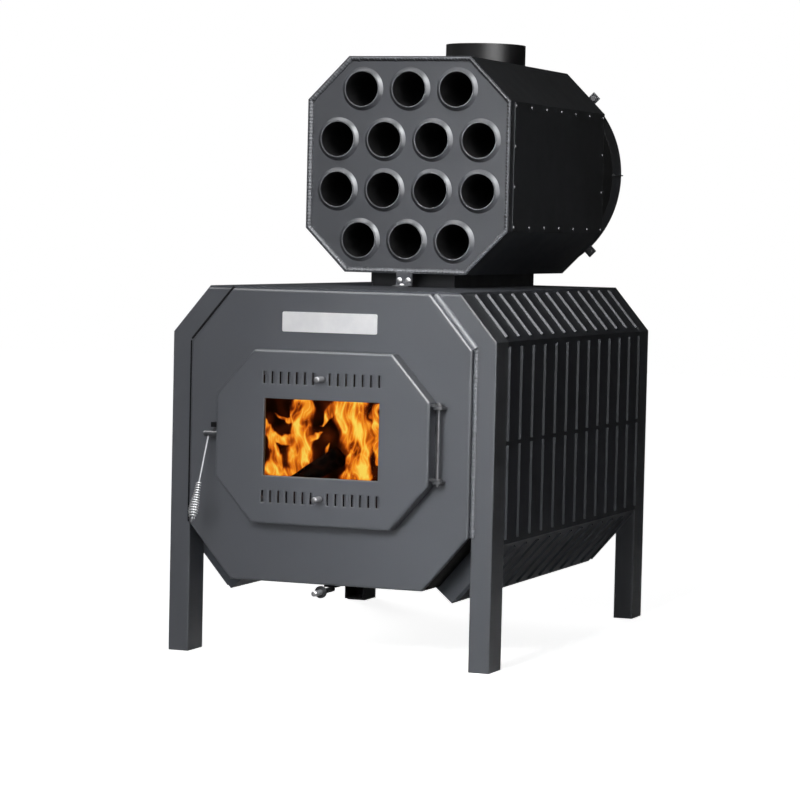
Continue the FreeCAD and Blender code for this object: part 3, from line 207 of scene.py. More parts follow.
def place(tree):
    """Object coordinates: metres in the row frame, riding with the piece."""
    return tree.nodes.new("ShaderNodeTexCoord").outputs["Object"]


def depth_of(tree, where):
    """How far back a place is: its Y coordinate."""
    split = tree.nodes.new("ShaderNodeSeparateXYZ")
    tree.links.new(where, split.inputs["Vector"])
    return split.outputs["Y"]


def noise_of(tree, vector, scale, detail=2.0, roughness=0.5):
    """Noise texture at the given scale."""
    node = add(tree, "ShaderNodeTexNoise", Scale=scale, Detail=detail, Roughness=roughness)
    tree.links.new(vector, node.inputs["Vector"])
    return node.outputs["Fac"]


def stretched(tree, vector, scale):
    """Coordinates scaled by a different factor along each axis."""
    node = tree.nodes.new("ShaderNodeMapping")
    node.inputs["Scale"].default_value = scale
    tree.links.new(vector, node.inputs["Vector"])
    return node.outputs["Vector"]


def ranged(tree, value, low, high, from_low=0.3, from_high=0.7):
    """Value mapped to the range low to high; the default start range holds most of a noise."""
    node = tree.nodes.new("ShaderNodeMapRange")
    node.inputs["From Min"].default_value = from_low
    node.inputs["From Max"].default_value = from_high
    node.inputs["To Min"].default_value = low
    node.inputs["To Max"].default_value = high
    tree.links.new(value, node.inputs["Value"])
    return node.outputs["Result"]


def ramp(tree, value, stops):
    """Colour ramp through (position, colour) stops."""
    node = tree.nodes.new("ShaderNodeValToRGB")
    points = node.color_ramp.elements
    while len(points) < len(stops):
        points.new(1.0)
    for point, (position, colour) in zip(points, stops):
        point.position = position
        point.color = (*colour, 1.0)
    tree.links.new(value, node.inputs["Fac"])
    return node.outputs["Color"]


def mixed(tree, factor, a, b):
    """Colour mix of two sockets or colours."""
    node = tree.nodes.new("ShaderNodeMix")
    node.data_type = "RGBA"
    for socket, value in ((node.inputs["Factor"], factor), (node.inputs[6], a), (node.inputs[7], b)):
        feed(tree, socket, value)
    return node.outputs[2]


def math_of(tree, operation, a, b):
    """Math node on two sockets or numbers."""
    node = tree.nodes.new("ShaderNodeMath")
    node.operation = operation
    for socket, value in zip(node.inputs, (a, b)):
        feed(tree, socket, value)
    return node.outputs["Value"]


def dot_of(tree, a, b):
    """Dot product of a vector socket with another one or with a fixed direction."""
    node = tree.nodes.new("ShaderNodeVectorMath")
    node.operation = "DOT_PRODUCT"
    for socket, value in zip(node.inputs, (a, b)):
        feed(tree, socket, value)
    return node.outputs["Value"]


def bump_of(tree, height, strength, distance, normal=None):
    """Normal bumped by a height, on top of another normal where one is given."""
    node = add(tree, "ShaderNodeBump", Strength=strength, Distance=distance)
    tree.links.new(height, node.inputs["Height"])
    if normal is not None:
        tree.links.new(normal, node.inputs["Normal"])
    return node.outputs["Normal"]


def rounded(tree, radius):
    """Normal that rounds sharp edges by radius, and a mask that is 1 on those edges."""
    bevel = tree.nodes.new("ShaderNodeBevel")
    bevel.samples = EDGE_SAMPLES
    bevel.inputs["Radius"].default_value = radius
    normal = bevel.outputs["Normal"]
    flat = tree.nodes.new("ShaderNodeNewGeometry").outputs["Normal"]
    mask = ranged(tree, dot_of(tree, normal, flat), 1.0, 0.0, *EDGE_COSINES)
    return normal, mask


def facing(tree, side, low, high):
    """Mask of the surfaces that face a side: 0 below the cosine low, 1 above high."""
    way = tree.nodes.new("ShaderNodeNewGeometry").outputs["Normal"]
    return ranged(tree, dot_of(tree, way, side), 0.0, 1.0, low, high)


def wire_up(tree, shader, **sockets):
    """Link sockets to the shader's inputs of the same names, written with underscores."""
    for name, source in sockets.items():
        tree.links.new(source, shader.inputs[name.replace("_", " ")])


# Materials
def shade(factor, colour=GREY_PAINT):
    """A colour made darker or lighter by a factor."""
    return tuple(factor * c for c in colour)


def paint(name, base, worn_and_highlit=WORN_AND_HIGHLIT_PAINT, roughness=SATIN, specular=1.0, edge=PAINT_EDGE, painted_shade=None):
    """Heat-proof paint on steel: fine grain, slow mottling, edges rubbed lighter and lightened as a painted
    highlight.

    A dark colour painted as shade covers the faces that look down and to the left.
    """
    material, tree, shader = new_material(name)
    where = place(tree)
    slow = noise_of(tree, where, MOTTLE_SCALE, detail=3.0)
    patch = noise_of(tree, where, PATCH_SCALE, detail=4.0, roughness=0.6)
    grain = noise_of(tree, where, GRAIN_SCALE)
    tones = ((0.3, shade(0.90, base)), (0.7, shade(1.10, base)))
    colour = mixed(tree, GRAIN_SHARE, ramp(tree, slow, tones), ramp(tree, grain, tones))
    # Edges rubbed lighter, which also paints the highlight along rounded edges
    normal, on_edge = rounded(tree, edge)
    rubbed_and_highlit = math_of(tree, "MULTIPLY", on_edge, ranged(tree, patch, *RUBBED_AND_HIGHLIT_SHARES))
    colour = mixed(tree, rubbed_and_highlit, colour, worn_and_highlit)
    # Painted shade on the faces that look down and to the left
    if painted_shade is not None:
        colour = mixed(tree, facing(tree, SHADED_SIDE, *SHADE_COSINES), colour, painted_shade)
    normal = bump_of(tree, grain, *GRAIN_BUMP, normal)
    normal = bump_of(tree, noise_of(tree, where, WAVE_SCALE), *WAVE_BUMP, normal)
    shader.inputs["Specular IOR Level"].default_value = specular
    wire_up(tree, shader, Base_Color=colour, Roughness=ranged(tree, patch, *roughness), Normal=normal)
    return material


def tube_inside(name):
    """Heat tube: painted at its front end, with a painted highlight on its lip, burnt dark inside."""
    material, tree, shader = new_material(name)
    where = place(tree)
    depth = depth_of(tree, where)
    inside = ranged(tree, depth, 0.0, 1.0, TUBE_PLATE_FACE - TUBE_PAINTED, TUBE_PLATE_FACE)
    patch = noise_of(tree, where, scale=30.0, detail=3.0)
    burnt = ramp(tree, patch, ((0.3, (0.010, 0.010, 0.011)), (0.7, (0.020, 0.020, 0.022))))
    colour = mixed(tree, inside, GREY_PAINT, burnt)
    # Painted highlight: a light ring at the tube's front lip
    lip_highlight = ranged(tree, depth, 1.0, 0.0, TUBE_FRONT, TUBE_FRONT + TUBE_LIP_DEPTH)
    colour = mixed(tree, lip_highlight, colour, TUBE_LIP_HIGHLIGHT)
    shader.inputs["Specular IOR Level"].default_value = 0.2
    wire_up(tree, shader, Base_Color=colour, Roughness=ranged(tree, patch, 0.5, 0.7))
    return material


def metal(name, base, dull, roughness, blued_from=None):
    """Bare metal with fine drawn marks and duller patches, and dark behind the depth blued_from."""
    material, tree, shader = new_material(name)
    where = place(tree)
    drawn = stretched(tree, where, DRAWN_MARKS)
    marks = noise_of(tree, drawn, MARK_SCALE, detail=3.0, roughness=0.6)
    patch = noise_of(tree, where, DULL_SCALE, detail=3.0)
    colour = mixed(tree, ranged(tree, patch, 0.0, 1.0), base, dull)
    if blued_from is not None:
        behind = ranged(tree, depth_of(tree, where), 0.0, 1.0, blued_from - BLUED_FADE, blued_from)
        colour = mixed(tree, behind, colour, BLUED_STEEL)
    normal, _ = rounded(tree, METAL_EDGE)
    normal = bump_of(tree, marks, *MARK_BUMP, normal)
    shader.inputs["Metallic"].default_value = 1.0
    wire_up(tree, shader, Base_Color=colour, Roughness=ranged(tree, marks, *roughness), Normal=normal)
    return material


def cast_metal(name, base, dull, roughness):
    """Plain cast aluminium: fine sand grain and soft shading."""
    material, tree, shader = new_material(name)
    where = place(tree)
    grain = noise_of(tree, where, scale=330.0, detail=4.0, roughness=0.65)
    cloud = noise_of(tree, where, scale=26.0, detail=3.0)
    colour = mixed(tree, ranged(tree, cloud, 0.0, 1.0), base, dull)
    normal, _ = rounded(tree, radius=1.2 * MM)
    normal = bump_of(tree, grain, strength=0.22, distance=0.5 * MM, normal=normal)
    shader.inputs["Metallic"].default_value = 0.35
    wire_up(tree, shader, Base_Color=colour, Roughness=ranged(tree, grain, *roughness), Normal=normal)
    return material


def sooted(name, base, ash, scale, bump):
    """Rough surface inside the fire: soot with ash-coloured patches."""
    material, tree, shader = new_material(name)
    where = place(tree)
    cloud = noise_of(tree, where, scale)
    grain = noise_of(tree, where, scale * SOOT_FINER)
    colour = ramp(tree, cloud, ((0.35, base), (0.75, ash)))
    normal = bump_of(tree, grain, strength=bump, distance=1.0 * MM)
    shader.inputs["Specular IOR Level"].default_value = 0.2
    wire_up(tree, shader, Base_Color=colour, Roughness=ranged(tree, grain, 0.75, 0.95), Normal=normal)
    return material


def rope(name):
    """Glass-fibre rope: twill of dark and pale strands."""
    material, tree, shader = new_material(name)
    where = place(tree)
    weave = add(tree, "ShaderNodeTexWave", Scale=150.0, Distortion=1.5, Detail=2.0)
    weave.bands_direction = "DIAGONAL"
    tree.links.new(where, weave.inputs["Vector"])
    strands = weave.outputs["Fac"]
    colour = ramp(tree, strands, ((0.2, (0.03, 0.03, 0.03)), (0.8, (0.16, 0.155, 0.15))))
    shader.inputs["Specular IOR Level"].default_value = 0.15
    normal = bump_of(tree, strands, strength=0.5, distance=1.0 * MM)
    wire_up(tree, shader, Base_Color=colour, Roughness=ranged(tree, strands, 0.8, 0.95), Normal=normal)
    return material


def glass(name):
    """Clear heat-proof glass with a faint uneven tint of smoke."""
    material, tree, shader = new_material(name)
    haze = noise_of(tree, place(tree), scale=14.0, detail=3.0)
    colour = ramp(tree, haze, ((0.3, (0.96, 0.93, 0.88)), (0.8, (0.86, 0.80, 0.72))))
    shader.inputs["Transmission Weight"].default_value = 1.0
    shader.inputs["IOR"].default_value = 1.05
    shader.inputs["Specular IOR Level"].default_value = 0.5
    shader.inputs["Roughness"].default_value = 0.0
    wire_up(tree, shader, Base_Color=colour)
    return material


def flame_light(name):
    """Glowing gas: deep red at the cool rim, yellow in the core, from the mesh's own heat value."""
    material, tree, shader = new_material(name)
    heat = add(tree, "ShaderNodeAttribute", attribute_name="fire_heat").outputs["Fac"]
    stops = (
        (0.00, (0.003, 0.0006, 0.000)),
        (0.12, (0.034, 0.005, 0.001)),
        (0.28, (0.210, 0.030, 0.003)),
        (0.48, (0.720, 0.150, 0.009)),
        (0.70, (0.980, 0.350, 0.024)),
        (1.00, (1.000, 0.720, 0.110)),
    )
    glow = ramp(tree, heat, stops)
    shader.inputs["Specular IOR Level"].default_value = 0.0
    shader.inputs["Roughness"].default_value = 1.0
    shader.inputs["Emission Strength"].default_value = 1.0
    black = ramp(tree, heat, ((0.0, (0.004, 0.001, 0.0)), (1.0, (0.02, 0.01, 0.0))))
    wire_up(tree, shader, Base_Color=black, Emission_Color=glow)
    return material


def charred_wood(name):
    """Burnt log: cracked charcoal with grey ash and a few embers in the cracks."""
    material, tree, shader = new_material(name)
    where = place(tree)
    cells = add(tree, "ShaderNodeTexVoronoi", Scale=42.0, feature="DISTANCE_TO_EDGE")
    tree.links.new(where, cells.inputs["Vector"])
    crack = cells.outputs["Distance"]
    cloud = noise_of(tree, where, scale=16.0, detail=4.0)
    colour = ramp(tree, cloud, ((0.4, (0.002, 0.0016, 0.0016)), (0.75, (0.008, 0.006, 0.006))))
    ember = ramp(tree, crack, ((0.0, (0.026, 0.003, 0.0004)), (0.04, (0.0, 0.0, 0.0))))
    shader.inputs["Specular IOR Level"].default_value = 0.0
    shader.inputs["Emission Strength"].default_value = 0.6
    normal = bump_of(tree, crack, strength=0.4, distance=2.0 * MM)
    rough = ranged(tree, cloud, 0.65, 0.9)
    wire_up(tree, shader, Base_Color=colour, Emission_Color=ember, Roughness=rough, Normal=normal)
    return material


BODY_PAINT = paint("body_paint", GREY_PAINT)
LEG_PAINT = paint("leg_paint", GREY_PAINT, edge=LEG_EDGE)
REAR_LEG_PAINT = paint("rear_leg_paint", GREY_PAINT, specular=0.55, edge=LEG_EDGE)
PAN_PAINT = paint("pan_paint", GREY_PAINT, edge=8.0 * MM)
# The side jackets take a darker copy of the body paint, painted as the shade on those sides
SHADED_JACKET_PAINT = paint("jacket_paint_shaded", shade(0.80), specular=0.22)
CASING_PAINT = paint("casing_paint", shade(0.75), specular=0.5)
TOP_PAINT = paint("top_paint", shade(0.95), roughness=MATT, specular=0.12)
WELD_PAINT = paint("weld_paint", shade(1.2), roughness=MATT)
DOOR_PAINT = paint("door_paint", shade(1.04), edge=6.0 * MM)
SLIDE_PAINT = paint("slide_paint", shade(0.85))
DULL_PAINT = paint("dull_paint", shade(0.40), edge=2.4 * MM)
# The tubes and the rim weld get painted shade on their faces turned down and to the left
TUBE_PAINT = paint("tube_paint", GREY_PAINT, edge=0.9 * MM, painted_shade=SHADE_PAINT)
RIM_WELD_PAINT = paint("rim_weld_paint", shade(1.4), roughness=(0.55, 0.65), painted_shade=SHADE_PAINT)
TUBE_INSIDE = tube_inside("tube_inside")
DARK_PAINT = paint("dark_paint", SHADE_PAINT, (0.075, 0.078, 0.085), (0.34, 0.46), specular=0.5)
FLUE_PAINT = paint("flue_paint", (0.008, 0.008, 0.009), (0.050, 0.052, 0.056), specular=0.42)
BLACK_PAINT = paint("black_paint", (0.006, 0.006, 0.007), (0.012, 0.012, 0.013), MATT, specular=0.2)
FAN_BLACK = paint("fan_black", (0.020, 0.020, 0.021), (0.05, 0.05, 0.052), edge=FAN_EDGE)
FAN_BLADE = paint("fan_blade", (0.045, 0.046, 0.048), (0.11, 0.11, 0.115), edge=FAN_EDGE)
FIRE_STEEL = sooted("fire_steel", (0.012, 0.011, 0.010), (0.055, 0.050, 0.045), 9.0, 0.3)
GRATE_IRON = sooted("grate_iron", (0.022, 0.020, 0.018), (0.075, 0.070, 0.065), 14.0, 0.5)
FIREBRICK = sooted("firebrick", (0.030, 0.026, 0.022), (0.34, 0.27, 0.20), 7.0, 0.4)
ROPE_SEAL = rope("rope_seal")
WINDOW_GLASS = glass("window_glass")
BRIGHT_STEEL = metal("bright_steel", (0.54, 0.54, 0.55), (0.44, 0.44, 0.46), (0.28, 0.42))
SPRING_STEEL = metal("spring_steel", (0.64, 0.64, 0.65), (0.54, 0.54, 0.55), (0.48, 0.58))
HANDLE_STEEL = metal("handle_steel", (0.22, 0.225, 0.235), (0.18, 0.185, 0.195), MATT)
KNOB_STEEL = metal("knob_steel", (0.34, 0.34, 0.35), (0.28, 0.28, 0.29), MATT)
AIR_KNOB_STEEL = metal(
    "air_knob_steel", (0.76, 0.76, 0.77), (0.64, 0.64, 0.66), (0.30, 0.44), blued_from=AIR_DISC_FACE
)
PLAIN_STEEL = metal("plain_steel", (0.24, 0.24, 0.25), (0.15, 0.15, 0.16), (0.34, 0.48))
ALUMINIUM = cast_metal("plate_aluminium", (0.84, 0.84, 0.85), (0.76, 0.76, 0.78), (0.42, 0.60))

# Finish of each material slot, and of the nodes that differ from their slot
FINISHES = {
    "body_paint": BODY_PAINT,
    "door_paint": DOOR_PAINT,
    "tube_paint": TUBE_PAINT,
    "fire_steel": FIRE_STEEL,
    "grate_iron": GRATE_IRON,
    "firebrick": FIREBRICK,
    "rope_seal": ROPE_SEAL,
    "window_glass": WINDOW_GLASS,
    "bright_steel": BRIGHT_STEEL,
    "plain_steel": PLAIN_STEEL,
    "plate_aluminium": ALUMINIUM,
    "fan_black": FAN_BLACK,
    "fan_blade": FAN_BLADE,
}
NODE_FINISHES = {
    "leg_front_left": LEG_PAINT,
    "leg_front_right": LEG_PAINT,
    "leg_rear_left": REAR_LEG_PAINT,
    "leg_rear_right": REAR_LEG_PAINT,
    "handle_rod": HANDLE_STEEL,
    "slide_knob_upper": KNOB_STEEL,
    "slide_knob_lower": KNOB_STEEL,
    "latch_hub": DULL_PAINT,
    "hinge_lugs_body": DULL_PAINT,
    "hinge_lugs_door": DULL_PAINT,
    "air_slide_upper": SLIDE_PAINT,
    "air_slide_lower": SLIDE_PAINT,
    "front_plate": PAN_PAINT,
    "jacket_left": SHADED_JACKET_PAINT,
    "jacket_right": SHADED_JACKET_PAINT,
    "top_plate": TOP_PAINT,
    "exchanger_casing": CASING_PAINT,
    "side_cover_left": CASING_PAINT,
    "side_cover_right": CASING_PAINT,
    "fan_plate": CASING_PAINT,
    "flue_collar": FLUE_PAINT,
    "neck_box": DARK_PAINT,
    "fan_drum": DARK_PAINT,
    "slide_guides": DARK_PAINT,
    "tube_plate_rear": DARK_PAINT,
    "smoke_baffle": DARK_PAINT,
    # The keeper is painted black as the shade it sits in, above the hub
    "latch_keeper": BLACK_PAINT,
    "air_inlet_box": BLACK_PAINT,
    "damper_guides": BLACK_PAINT,
    "air_damper": BLACK_PAINT,
    "air_rod": BLACK_PAINT,
    "air_knob": AIR_KNOB_STEEL,
}


def finish_cad_nodes():
    """Every solid takes its own finish, or that of its material slot."""
    for part in frame["record"]["subparts"]:
        name = part["node"]
        material = NODE_FINISHES.get(name, FINISHES[part["material_slot"]])
        if name.startswith("heat_tubes"):
            material = TUBE_INSIDE
        mesh = NODES[name].data
        mesh.materials.clear()
        mesh.materials.append(material)


# Mesh helpers
def piece(name, bm, body, material, replaced=()):
    """Object from a bmesh that rides on a body and the nodes that it replaces."""
    mesh = bpy.data.meshes.new(name)
    bmesh.ops.recalc_face_normals(bm, faces=bm.faces)
    bm.to_mesh(mesh)
    bm.free()
    mesh.materials.append(material)
    for polygon in mesh.polygons:
        polygon.use_smooth = True
    result = bpy.data.objects.new(name, mesh)
    bpy.context.scene.collection.objects.link(result)
    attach(result, body)
    if replaced:
        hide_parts(*replaced)


def bridge(bm, pairs):
    """Faces between each pair of rings."""
    for a, b in pairs:
        for k in range(len(a)):
            m = (k + 1) % len(a)
            bm.faces.new((a[k], a[m], b[m], b[k]))


def sweep(bm, points, radius_at, sides, closed=False, up=Vector((0, 1, 0))):
    """Tube along points. radius_at(index, angle) gives the radius of each vertex."""
    count = len(points)
    rings = []
    for i, point in enumerate(points):
        before = points[i - 1] if i > 0 or closed else point
        after = points[(i + 1) % count] if i < count - 1 or closed else point
        along = (after - before).normalized()
        side = along.cross(up).normalized()
        top = side.cross(along)
        ring = []
        for k in range(sides):
            angle = 2.0 * math.pi * k / sides
            reach = radius_at(i, angle)
            ring.append(bm.verts.new(point + reach * (math.cos(angle) * side + math.sin(angle) * top)))
        rings.append(ring)
    bridge(bm, zip(rings, rings[1:]))
    if closed:
        bridge(bm, [(rings[-1], rings[0])])
    else:
        bm.faces.new(rings[0])
        bm.faces.new(rings[-1])


def hull(points):
    """Convex hull of (x, z) points, counter-clockwise."""
    ordered = sorted(set(points))

    def half(sequence):
        line = []
        for p in sequence:
            while len(line) > 1:
                a, b = line[-2], line[-1]
                if (b[0] - a[0]) * (p[1] - a[1]) - (b[1] - a[1]) * (p[0] - a[0]) > STRAIGHT:
                    break
                line.pop()
            line.append(p)
        return line[:-1]

    return half(ordered) + half(ordered[::-1])


def outline_at(node, depth):
    """Outer corners (x, z) of a node's section at depth y."""
    corners = []
    for vertex in NODES[node].data.vertices:
        if abs(vertex.co.y - depth) < SECTION_NEAR:
            corners.append((round(vertex.co.x, 5), round(vertex.co.z, 5)))
    return hull(corners)


def inward_normals(corners, i):
    """Inward normals of the two sides that meet at corner i of a counter-clockwise outline."""
    points = [Vector(corners[(i + k) % len(corners)]) for k in (-1, 0, 1)]
    normals = []
    for start, end in zip(points, points[1:]):
        along = (end - start).normalized()
        normals.append(Vector((-along.y, along.x)))
    return normals


def inset(corners, depth):
    """Counter-clockwise outline moved inwards by depth."""
    result = []
    for i, corner in enumerate(corners):
        first, second = inward_normals(corners, i)
        share = depth / (1.0 + first.dot(second))
        moved = Vector(corner) + share * (first + second)
        result.append((moved.x, moved.y))
    return result


def walk(points, step):
    """Points at even steps along a polyline."""
    result = []
    for a, b in zip(points, points[1:]):
        count = max(1, round((b - a).length / step))
        result += [a.lerp(b, i / count) for i in range(count)]
    result.append(points[-1])
    return result


# Welds
def ripple(turns, seed):
    """Size of a weld along its run: one rounded scale a turn, each of uneven size."""
    scale = math.floor(turns)
    along = turns - scale
    uneven = 1.0 + SCALE_UNEVEN * noise.noise(Vector((scale * SCALE_NOISE_STEP, seed, 0.0)))
    arch = math.sqrt(max(0.0, 1.0 - SCALE_ROUNDNESS * (2.0 * along - SCALE_LEAN) ** 2))
    return uneven * (SCALE_LEAST + SCALE_SWELL * arch)


def weld_bead(bm, corners, bead_r, seed, rough):
    """Weld along corners: overlapping scales of uneven size, ground smoother where rough is below 1."""

    def radius(i, angle):
        return bead_r * (1.0 - rough * (1.0 - ripple(i * FRONT_BEAD_STEP / FRONT_BEAD_PITCH, seed)))

    sweep(bm, walk(corners, FRONT_BEAD_STEP), radius, FRONT_BEAD_SIDES)


def front_plate_welds():
    """Between the front plate's rim and the legs: welds on the right, a dark strip on the left painted as the
    shadow along the rim.
    """
    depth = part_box("front_plate")[1].y
    corners = outline_at("front_plate", depth)
    right = sorted((c for c in corners if c[0] > 0.0), key=lambda c: c[1])
    side_low, side_high, shoulder = (Vector(c) for c in right[1:4])
    slope = (shoulder - side_high).normalized()
    side_out = Vector((1.0, 0.0))
    shoulder_out = Vector((slope.y, -slope.x))
    side = (side_low, side_high)

    def run(bm, mirror, ends, outward, bead_r, seat, rough):
        moved = [corner + seat * bead_r * outward for corner in ends]
        line = [Vector((mirror * x, depth, z)) for x, z in moved]
        weld_bead(bm, line, bead_r, mirror, rough)

    welds = bmesh.new()
    shoulder_end = shoulder - SHOULDER_STOP * slope
    run(welds, 1.0, side, side_out, FRONT_BEAD_R, BEAD_SEAT, AS_WELDED)
    run(welds, 1.0, (side_high, shoulder_end), shoulder_out, SHOULDER_BEAD_R, SHOULDER_SEAT, GROUND_SMOOTH)
    piece("front_plate_welds", welds, "stove", WELD_PAINT)
    # Painted shadow: a black strip along the left rim and its chamfer
    shadow_strip = bmesh.new()
    run(shadow_strip, -1.0, side, side_out, SHADOW_STRIP_R, BEAD_SEAT, GROUND_SMOOTH)
    run(shadow_strip, -1.0, (side_high, shoulder), shoulder_out, SHADOW_STRIP_R, BEAD_SEAT, GROUND_SMOOTH)
    piece("front_plate_shadow_strip", shadow_strip, "stove", BLACK_PAINT)


def fillet_weld(bm, corners, depth):
    """Rippled fillet in the corner between a rim and the plate set back inside it at depth."""
    rings = []
    travelled = 0.0
    for i, corner in enumerate(corners):
        here = Vector(corner)
        after = Vector(corners[(i + 1) % len(corners)])
        length = (after - here).length
        first, second = inward_normals(corners, i)
        mitre = (first + second) / (1.0 + first.dot(second))
        steps = round(length / RIM_WELD_STEP)
        for k in range(steps):
            share = k / steps
            size = RIM_WELD_LEG * ripple((travelled + share * length) / RIM_WELD_PITCH, RIM_WELD_SEED)
            inward = mitre if k == 0 else second
            foot = here.lerp(after, share)
            ring = []
            for across, forward in FILLET_PROFILE:
                x, z = foot + across * size * inward
                ring.append(bm.verts.new((x, depth - forward * size, z)))
            rings.append(ring)
        travelled += length
    bridge(bm, zip(rings, rings[1:] + rings[:1]))


def tube_plate_weld():
    """Fillet weld round the front tube plate, inside the casing's rim."""
    bm = bmesh.new()
    fillet_weld(bm, outline_at("tube_plate_front", TUBE_PLATE_FACE), TUBE_PLATE_FACE)
    piece("tube_plate_weld", bm, "stove", RIM_WELD_PAINT)


# Spring grip and rope gasket
def spring_grip():
    """The handle's coil: one wire that swells towards its lower end."""
    pivot = next(j for j in frame["joints"] if j["name"] == "latch_turn")["pos_m"]
    rod_low, rod_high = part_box("handle_rod")
    root = Vector(((rod_low.x + rod_high.x) / 2.0, pivot[1], pivot[2]))
    lean = math.radians(HANDLE_LEAN)
    down = Vector((0.0, -math.sin(lean), -math.cos(lean)))
    side = Vector((1.0, 0.0, 0.0))
    up = down.cross(side)
    core = HANDLE_ROD_R + GRIP_CLEAR + GRIP_WIRE_R
    end_gap = 2.0 * GRIP_WIRE_R
    points = []
    for i in range(GRIP_TURNS * GRIP_TURN_STEPS + 1):
        share = i / (GRIP_TURNS * GRIP_TURN_STEPS)
        reach = core + GRIP_BULGE * math.sin(math.pi * share ** GRIP_SKEW)
        along = HANDLE_BARE + end_gap + share * (GRIP_LENGTH - 2.0 * end_gap)
        angle = 2.0 * math.pi * i / GRIP_TURN_STEPS
        points.append(root + along * down + reach * (math.cos(angle) * side + math.sin(angle) * up))
    bm = bmesh.new()
    sweep(bm, points, lambda i, angle: GRIP_WIRE_R, GRIP_WIRE_SIDES, up=down)
    piece("spring_grip_coil", bm, "latch", SPRING_STEEL, replaced=("spring_grip",))


def rope_path(line):
    """Closed line with its corners bent round, in even steps."""
    path = []
    for i, here in enumerate(line):
        start = here + ROPE_BEND * (line[i - 1] - here).normalized()
        end = here + ROPE_BEND * (line[(i + 1) % len(line)] - here).normalized()
        for k in range(ROPE_BEND_STEPS + 1):
            t = k / ROPE_BEND_STEPS
            path.append((1 - t) ** 2 * start + 2 * t * (1 - t) * here + t * t * end)
    return walk(path + path[:1], ROPE_STEP)[:-1]


def rope_gasket():
    """Twisted rope in the door's rim."""
    low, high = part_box("door_gasket")
    radius = (high.y - low.y) / 2.0 * ROPE_SIZE
    depth = (low.y + high.y) / 2.0
    corners = inset(outline_at("door_gasket", low.y), radius * ROPE_INSET)
    path = rope_path([Vector((x, depth, z)) for x, z in corners])
    twist = 2.0 * math.pi * round(len(path) * ROPE_STEP / ROPE_LAY) / len(path)

    def lobes(i, angle):
        return radius * (ROPE_CORE + ROPE_LOBE * math.cos(ROPE_STRANDS * angle + twist * i))

    bm = bmesh.new()
    sweep(bm, path, lobes, ROPE_SIDES, closed=True)
    piece("rope_gasket", bm, "door", ROPE_SEAL, replaced=("door_gasket",))


# Rivets and bolts
def turned(bm, seat, outward, profile):
    """Solid of revolution about outward, standing on seat."""
    side = outward.orthogonal().normalized()
    other = outward.cross(side)
    rings = []
    for reach, height in profile:
        ring = []
        for k in range(TURNED_SEGMENTS):
            angle = 2.0 * math.pi * k / TURNED_SEGMENTS
            offset = height * outward + reach * (math.cos(angle) * side + math.sin(angle) * other)
            ring.append(bm.verts.new(seat + offset * MM))
        rings.append(ring)
    bridge(bm, zip(rings, rings[1:]))
    bm.faces.new(rings[-1])
    bm.faces.new(rings[0])


def connected(start, seen):
    """Places of all the vertices joined to start by edges, which are added to seen."""
    group = []
    todo = [start]
    seen.add(start)
    while todo:
        vertex = todo.pop()
        group.append(vertex.co.copy())
        for edge in vertex.link_edges:
            other = edge.other_vert(vertex)
            if other not in seen:
                seen.add(other)
                todo.append(other)
    return group


def islands(mesh):
    """Lowest and highest corners of each separate shell of a mesh."""
    bm = bmesh.new()
    bm.from_mesh(mesh)
    bmesh.ops.remove_doubles(bm, verts=bm.verts, dist=SAME_POINT)
    seen = set()
    boxes = []
    for start in bm.verts:
        if start not in seen:
            group = connected(start, seen)
            low = Vector([min(p[k] for p in group) for k in range(3)])
            high = Vector([max(p[k] for p in group) for k in range(3)])
            boxes.append((low, high))
    bm.free()
    return sorted(boxes, key=lambda box: tuple(round(value, 4) for value in box[0]))


def cover_rivets():
    """Blind rivets along the edges of both side covers."""
    bm = bmesh.new()
    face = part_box("side_cover_right")[1].x
    for low, high in islands(NODES["cover_rivets"].data):
        centre = (low + high) / 2.0
        outward = Vector((math.copysign(1.0, centre.x), 0.0, 0.0))
        turned(bm, Vector((outward.x * face, centre.y, centre.z)), outward, BLIND_RIVET)
    piece("cover_rivet_heads", bm, "stove", PLAIN_STEEL, replaced=("cover_rivets",))


def neck_bolts():
    """Domed bolts: one down through the bracket's foot, two through its upright."""
    bm = bmesh.new()
    bracket_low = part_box("neck_bracket")[0]
    foot_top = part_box("neck_hanger")[0].z
    upright_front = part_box("neck_hanger")[0].y - (foot_top - bracket_low.z)
    for low, high in islands(NODES["neck_bolts"].data):
        centre = (low + high) / 2.0
        if abs(centre.x) < BOLT_OFF_MIDDLE:
            turned(bm, Vector((centre.x, centre.y, foot_top)), Vector((0.0, 0.0, 1.0)), DOME_BOLT)
        else:
            turned(bm, Vector((centre.x, upright_front, centre.z)), Vector((0.0, -1.0, 0.0)), DOME_BOLT)
    piece("neck_bolt_domes", bm, "stove", SPRING_STEEL, replaced=("neck_bolts",))


# Window opening in the door
WINDOW_HALF_W = 142.0 * MM
WINDOW_H = 178.0 * MM
WINDOW_TOP = 606.0 * MM
WINDOW_SHAPE = WINDOW_H / (2.0 * WINDOW_HALF_W)
GLASS_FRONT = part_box("door_glass")[0].y

